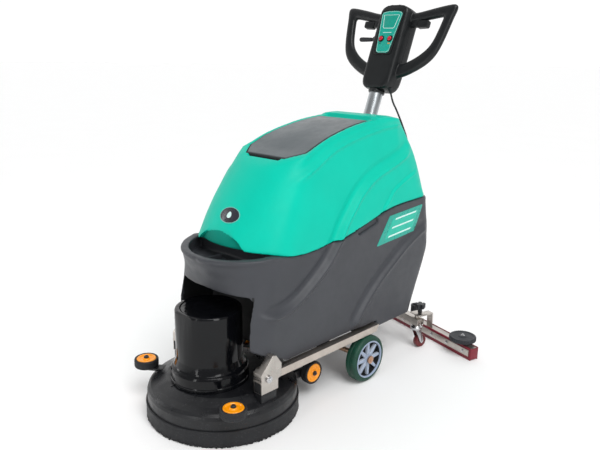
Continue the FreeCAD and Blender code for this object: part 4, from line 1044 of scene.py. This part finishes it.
def console_case():
    corners = [Vector((x, w)) for x, w in CASE_OUTLINE] + [Vector((-x, w)) for x, w in reversed(CASE_OUTLINE)]
    outline = rounded(corners, 9, steps=3)
    points, faces = [], []
    for depth, widen, inset in CASE_LEVELS:
        for p in outline:
            x = p.x * (1 + (widen - 1) * (1 if widen < 1 else min(1, 0.25 + p.y / 300)))
            x -= math.copysign(min(inset, abs(x)), x)
            w = p.y + (inset if p.y < 60 else -inset if p.y > 300 else 0)
            points.append(CONSOLE @ Vector((x * MM, w * MM, depth * MM)))
    count = len(outline)
    for i in range(len(CASE_LEVELS) - 1):
        for k in range(count):
            j = (k + 1) % count
            faces.append([i * count + k, i * count + j, (i + 1) * count + j, (i + 1) * count + k])
    faces.append(list(reversed(range(count))))
    faces.append([(len(CASE_LEVELS) - 1) * count + k for k in range(count)])
    return outward(mesh_from("case", points, faces))


def half_of(mesh, depth, keep_front):
    """The part of a closed mesh in front of or behind a plane of the console."""
    work = bmesh.new()
    work.from_mesh(mesh)
    origin = CONSOLE @ Vector((0, 0, depth * MM))
    cut = bmesh.ops.bisect_plane(work, geom=work.verts[:] + work.edges[:] + work.faces[:], dist=0.00001,
            plane_co=origin, plane_no=PANEL_OUT, clear_inner=keep_front, clear_outer=not keep_front)
    rim = [e for e in cut["geom_cut"] if isinstance(e, bmesh.types.BMEdge)]
    bmesh.ops.triangle_fill(work, edges=rim, use_beauty=True)
    bmesh.ops.recalc_face_normals(work, faces=work.faces)
    made = bpy.data.meshes.new("half")
    work.to_mesh(made)
    work.free()
    return made


def ring_outline(points, radius):
    right = [Vector(p) for p in points]
    left = [Vector((-x, y)) for x, y in reversed(points)]
    return [tuple(p) for p in rounded(right + left, radius)]


def console():
    shell = fused(joined(console_case(), grip(1), grip(-1)), 2.2, 7)
    shell = thinned(faired(shell, 25), 0.5)
    piece("console_front_case", half_of(shell, -6.6, True), "chassis", CONSOLE_BLACK,
          ["console_front"], angle=50)
    piece("console_back_case", half_of(shell, -7.4, False), "chassis", CONSOLE_BLACK,
          ["console_back"], angle=50)
    face = at(CONSOLE, 0, 0, 33)
    frame_outline = ring_outline(((30, 138), (42, 142), (56, 316), (46, 327), (24, 332)), 8)
    film_outline = ring_outline(((20, 145), (31, 151), (49, 302), (44, 311), (20, 316)), 6)
    well = ring_outline(((21, 143.5), (32.6, 149.5), (50.8, 303), (45.4, 312.6), (20.6, 318)), 6)
    piece("panel_frame", plate(frame_outline, -1.5, 3.2, face, 1.4, [well]), "chassis", CONSOLE_BLACK)
    film_edge = ring_outline(((19, 147), (29.6, 152.6), (47.2, 301.6), (42.8, 309.4), (19.8, 314.2)), 5)
    film_inner = ring_outline(((18.7, 148.2), (28.8, 153.5), (46.2, 301.3), (42.2, 308.6), (19.5, 313.3)), 5)
    holes = [circle(side * 21, 202, 9.5) for side in (-1, 1)]
    piece("panel_film_sheet", plate(film_outline, -1, 2.2, face, 0.3, holes), "chassis", FILM,
          ["control_panel"])
    piece("panel_film_border", plate(film_edge, 2.0, 2.6, face, 0.15, [film_inner]), "chassis", FILM_LINE)
    window = ring_outline(((23, 244), (28, 250), (37.5, 300)), 3)
    window_inner = ring_outline(((21.4, 246.2), (26.2, 251.4), (35.2, 298.6)), 2.4)
    piece("display_border", plate(window, 2.0, 2.8, face, 0.2, [window_inner]), "chassis", FILM_LINE)
    piece("display_window", plate(window_inner, 2.0, 2.5, face, 0.1), "chassis", FILM_DARK)
    piece("panel_rule", plate(box_outline(-21, 226.5, 21, 228.6, 0.6), 2.0, 2.7, face, 0.1), "chassis",
          FILM_LINE)
    piece("panel_mark_dark", plate(box_outline(-25.5, 181, -17, 184.6, 1), 2.0, 2.7, face, 0.1), "chassis",
          MARK_DARK)
    piece("panel_mark_orange", plate(box_outline(16.5, 180.6, 26, 185, 1), 2.0, 2.7, face, 0.1), "chassis",
          MARK_ORANGE)
    for side, label in ((1, "left"), (-1, "right")):
        spot = at(CONSOLE, side * 21, 202, 33)
        bezel = lathe([(9.3, -2), (13, -2), (13, 3.2), (11.8, 5), (10, 5), (9.3, 4.4)], spot, 48, 0.4)
        piece(f"button_bezel_{label}", bezel, "chassis", GLOSS_BLACK)
        dome = lathe([(0, -3), (7, -3), (7, 5.2), (9, 5.4), (8.8, 7), (7, 8.8), (3.8, 10), (0, 10.3)], spot,
                     40, 0.8)
        piece(f"button_cap_{label}", dome, f"button_{label}_body", RED, [f"button_{label}"])
        rounded_node(f"trigger_{label}_paddle", f"trigger_{label}", f"trigger_{label}_body", CONSOLE_BLACK,
                     4, 4)
        housing = box_outline(side * 87 - 18, 266, side * 87 + 18, 304, 3)
        piece(f"trigger_{label}_housing", plate(housing, -16, 2, CONSOLE, 2), "chassis", CONSOLE_BLACK)
    lever = refined("lift_lever", 1.6, 3)
    knob_place = at(CONSOLE, -158, 216, -7) @ Matrix.Rotation(-math.pi / 2, 4, "Y")
    knob = lathe([(0, -58), (7.4, -58), (8.2, -50), (9.4, -10), (9, 1), (6.4, 5), (0, 6)], knob_place, 32,
                 1.4)
    piece("lift_lever_arm", joined(lever, knob), "lift_lever_body", BLACK, ["lift_lever"])
    tube = refined("column_tube", 0.6)
    piece("column_tube_polished", tube, "chassis", TUBE_STEEL, ["column_tube"])
    collar = lathe([(23.2, -2), (31, -2), (33, 4), (30, 12), (27, 15), (23.2, 15)],
                   at(CONSOLE, 0, -8, 0) @ Matrix.Rotation(-math.pi / 2, 4, "X"), 64, 1)
    piece("column_collar", collar, "chassis", CONSOLE_BLACK)


# ---------------------------------------------------------------- squeegee
def squeegee():
    for node, body, bevel, material, slot in (
            ("squeegee_mount", "chassis", 0.8, CHROME, "stainless"),
            ("swing_arm", "swing", 1.5, CAST, "black_plastic"),
            ("carrier_plate", "squeegee", 0.8, STEEL_ACROSS, "stainless"),
            ("squeegee_channel", "squeegee", 0.8, STEEL_ACROSS, "stainless"),
            ("squeegee_blades", "squeegee", 0.6, MAROON, "maroon_rubber"),
            ("blade_clamps", "squeegee", 0.4, STEEL_ACROSS, "stainless"),
            ("suction_port", "squeegee", 1.0, BLACK, "black_plastic")):
        rounded_node(node + "_detail", node, body, material, bevel, 3)
    bolts = []
    for v, way in ((284.5, -1), (333.5, 1)):
        for i in range(8):
            u = -330 + 94.3 * i
            origin = SQUEEGEE @ Vector((u * MM, v * MM, 30 * MM))
            outward_way = (SQUEEGEE.to_3x3() @ Vector((0, way, 0)))
            bolts.append(bolt(turned_to(origin, outward_way), 9, 4, 7, 0.2 + i))
    piece("clamp_bolts", joined(*bolts), "squeegee", CHROME)
    ends = [plate(box_outline(side * 371 - 1.6, 289, side * 371 + 1.6, 329, 0.5), 3, 50, SQUEEGEE, 0.6)
            for side in (-1, 1)]
    piece("blade_ends", joined(*ends), "squeegee", MAROON)
    for label, side in (("left", 1), ("right", -1)):
        spot = at(SQUEEGEE, side * 302, 309, 62)
        disc = lathe([(5.1, 0), (16, 0), (18, 2), (48, 2), (50, 0), (52.5, 0.6), (54, 3), (54, 15), (52.5,
                17.4), (49, 18), (45, 17), (43, 15.8), (20, 15.8), (18, 17.2), (15, 18), (5.1, 18)], spot,
                     144, 0.8)
        points = coordinates(disc)
        local = np.array([tuple(SQUEEGEE.inverted() @ Vector(p)) for p in points])
        dx, dy = local[:, 0] - side * 0.302, local[:, 1] - 0.309
        far = np.hypot(dx, dy)
        turn = np.arctan2(dy, dx)
        flute = 0.0009 * np.cos(turn * 36) * step(far, 0.0505, 0.0535)
        scale = 1 - flute / np.maximum(far, 0.001)
        local[:, 0], local[:, 1] = side * 0.302 + dx * scale, 0.309 + dy * scale
        points = np.array([tuple(SQUEEGEE @ Vector(p)) for p in local])
        piece(f"end_roller_{label}_disc", shifted(disc, points), f"end_roller_{label}_body", ROLLER_GREY,
              [f"end_roller_{label}"])
        top = at(SQUEEGEE, side * 302, 309, 80.4)
        piece(f"end_roller_{label}_bolt", bolt(top, 10, 4, 8), "squeegee", CHROME)
        rounded_node(f"star_knob_{label}_grip", f"star_knob_{label}", f"star_knob_{label}_body", BLACK,
                     1.8, 3)
        rounded_node(f"caster_{label}_fork", f"caster_fork_{label}", f"caster_fork_{label}_body", CHROME,
                     0.8, 3)
        seat = at(SQUEEGEE, side * 160, 180, 0)
        dome = lathe([(8, 84), (21, 84), (23.5, 88), (23.5, 95), (20, 100), (17, 103), (8, 103)], seat, 48,
                     1.4)
        piece(f"caster_{label}_housing", dome, f"caster_fork_{label}_body", CHROME)
        wheel_low, wheel_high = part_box(f"caster_wheel_{label}")
        centre = (wheel_low + wheel_high) / 2
        place = basis(centre, Z_AXIS, BAR.cross(Z_AXIS), BAR)
        wheel = lathe([(4.1, -11), (9, -11), (11, -9), (19, -9), (22, -11), (25.6, -10), (27.6, -6.5), (28,
                0), (27.6, 6.5), (25.6, 10), (22, 11), (19, 9), (11, 9), (9, 11), (4.1, 11)], place, 72,
                      0.8)
        piece(f"caster_{label}_roller", wheel, f"caster_wheel_{label}_body", CASTER_RUBBER,
              [f"caster_wheel_{label}"])


# ---------------------------------------------------------------- studio
def area_light(name, place, aim, size, power, colour=(1, 1, 1)):
    data = bpy.data.lights.new(name, "AREA")
    data.shape = "RECTANGLE"
    data.size, data.size_y = size
    data.energy = power
    data.color = colour
    lamp = bpy.data.objects.new(name, data)
    bpy.context.scene.collection.objects.link(lamp)
    lamp.location = place
    lamp.rotation_euler = (Vector(aim) - Vector(place)).to_track_quat("-Z", "Y").to_euler()


def studio():
    floor_mesh = mesh_from("floor", [(-90, -90, 0), (90, -90, 0), (90, 90, 0), (-90, 90, 0)], [[0, 1, 2, 3]])
    floor = bpy.data.objects.new("floor", floor_mesh)
    bpy.context.scene.collection.objects.link(floor)
    finish = Finish("studio_floor", (0.95, 0.95, 0.95, 1), 0.7, specular=0.2)
    floor_mesh.materials.append(finish.mottled(2, 0.005).uneven(5, 0.05).done())
    world = bpy.data.worlds.new("studio")
    world.use_nodes = True
    nodes, links = world.node_tree.nodes, world.node_tree.links
    background = nodes["Background"]
    background.inputs["Color"].default_value = (1, 1, 1, 1)
    # the far side of the studio is white, the side the light comes from is dimmer
    way = nodes.new("ShaderNodeTexCoord")
    facing = nodes.new("ShaderNodeVectorMath")
    facing.operation = "DOT_PRODUCT"
    facing.inputs[1].default_value = (-0.70, 0.71, 0.0)
    glow = nodes.new("ShaderNodeMapRange")
    glow.inputs["From Min"].default_value = 0.0
    glow.inputs["From Max"].default_value = 0.62
    glow.inputs["To Min"].default_value = 0.42
    glow.inputs["To Max"].default_value = 1.05
    links.new(way.outputs["Generated"], facing.inputs[0])
    links.new(facing.outputs["Value"], glow.inputs["Value"])
    links.new(glow.outputs["Result"], background.inputs["Strength"])
    bpy.context.scene.world = world
    sun = bpy.data.lights.new("sun", "SUN")
    sun.energy = 1.65
    sun.angle = math.radians(35)
    lamp = bpy.data.objects.new("sun", sun)
    bpy.context.scene.collection.objects.link(lamp)
    lamp.rotation_euler = Vector((-0.62, 0.25, -1.0)).to_track_quat("-Z", "Y").to_euler()
    middle = Vector((0, 0.4, 0.6))
    area_light("key", (3.0, -0.6, 1.8), middle, (0.8, 1.8), 22)
    area_light("front", (0.6, -3.2, 1.3), middle, (0.35, 2.2), 14)
    area_light("left", (-2.6, -1.6, 1.2), middle, (0.3, 2.0), 8)
    bpy.context.scene.view_settings.view_transform = "Standard"


camera()
console_cable()
green_shell = recovery_tank()
grey_shell = solution_tank()
tank_lid()
decals(grey_shell)
badge(green_shell)
deck()
brush()
motor_cover()
small_rollers()
chassis()
main_wheels()
console()
squeegee()
studio()
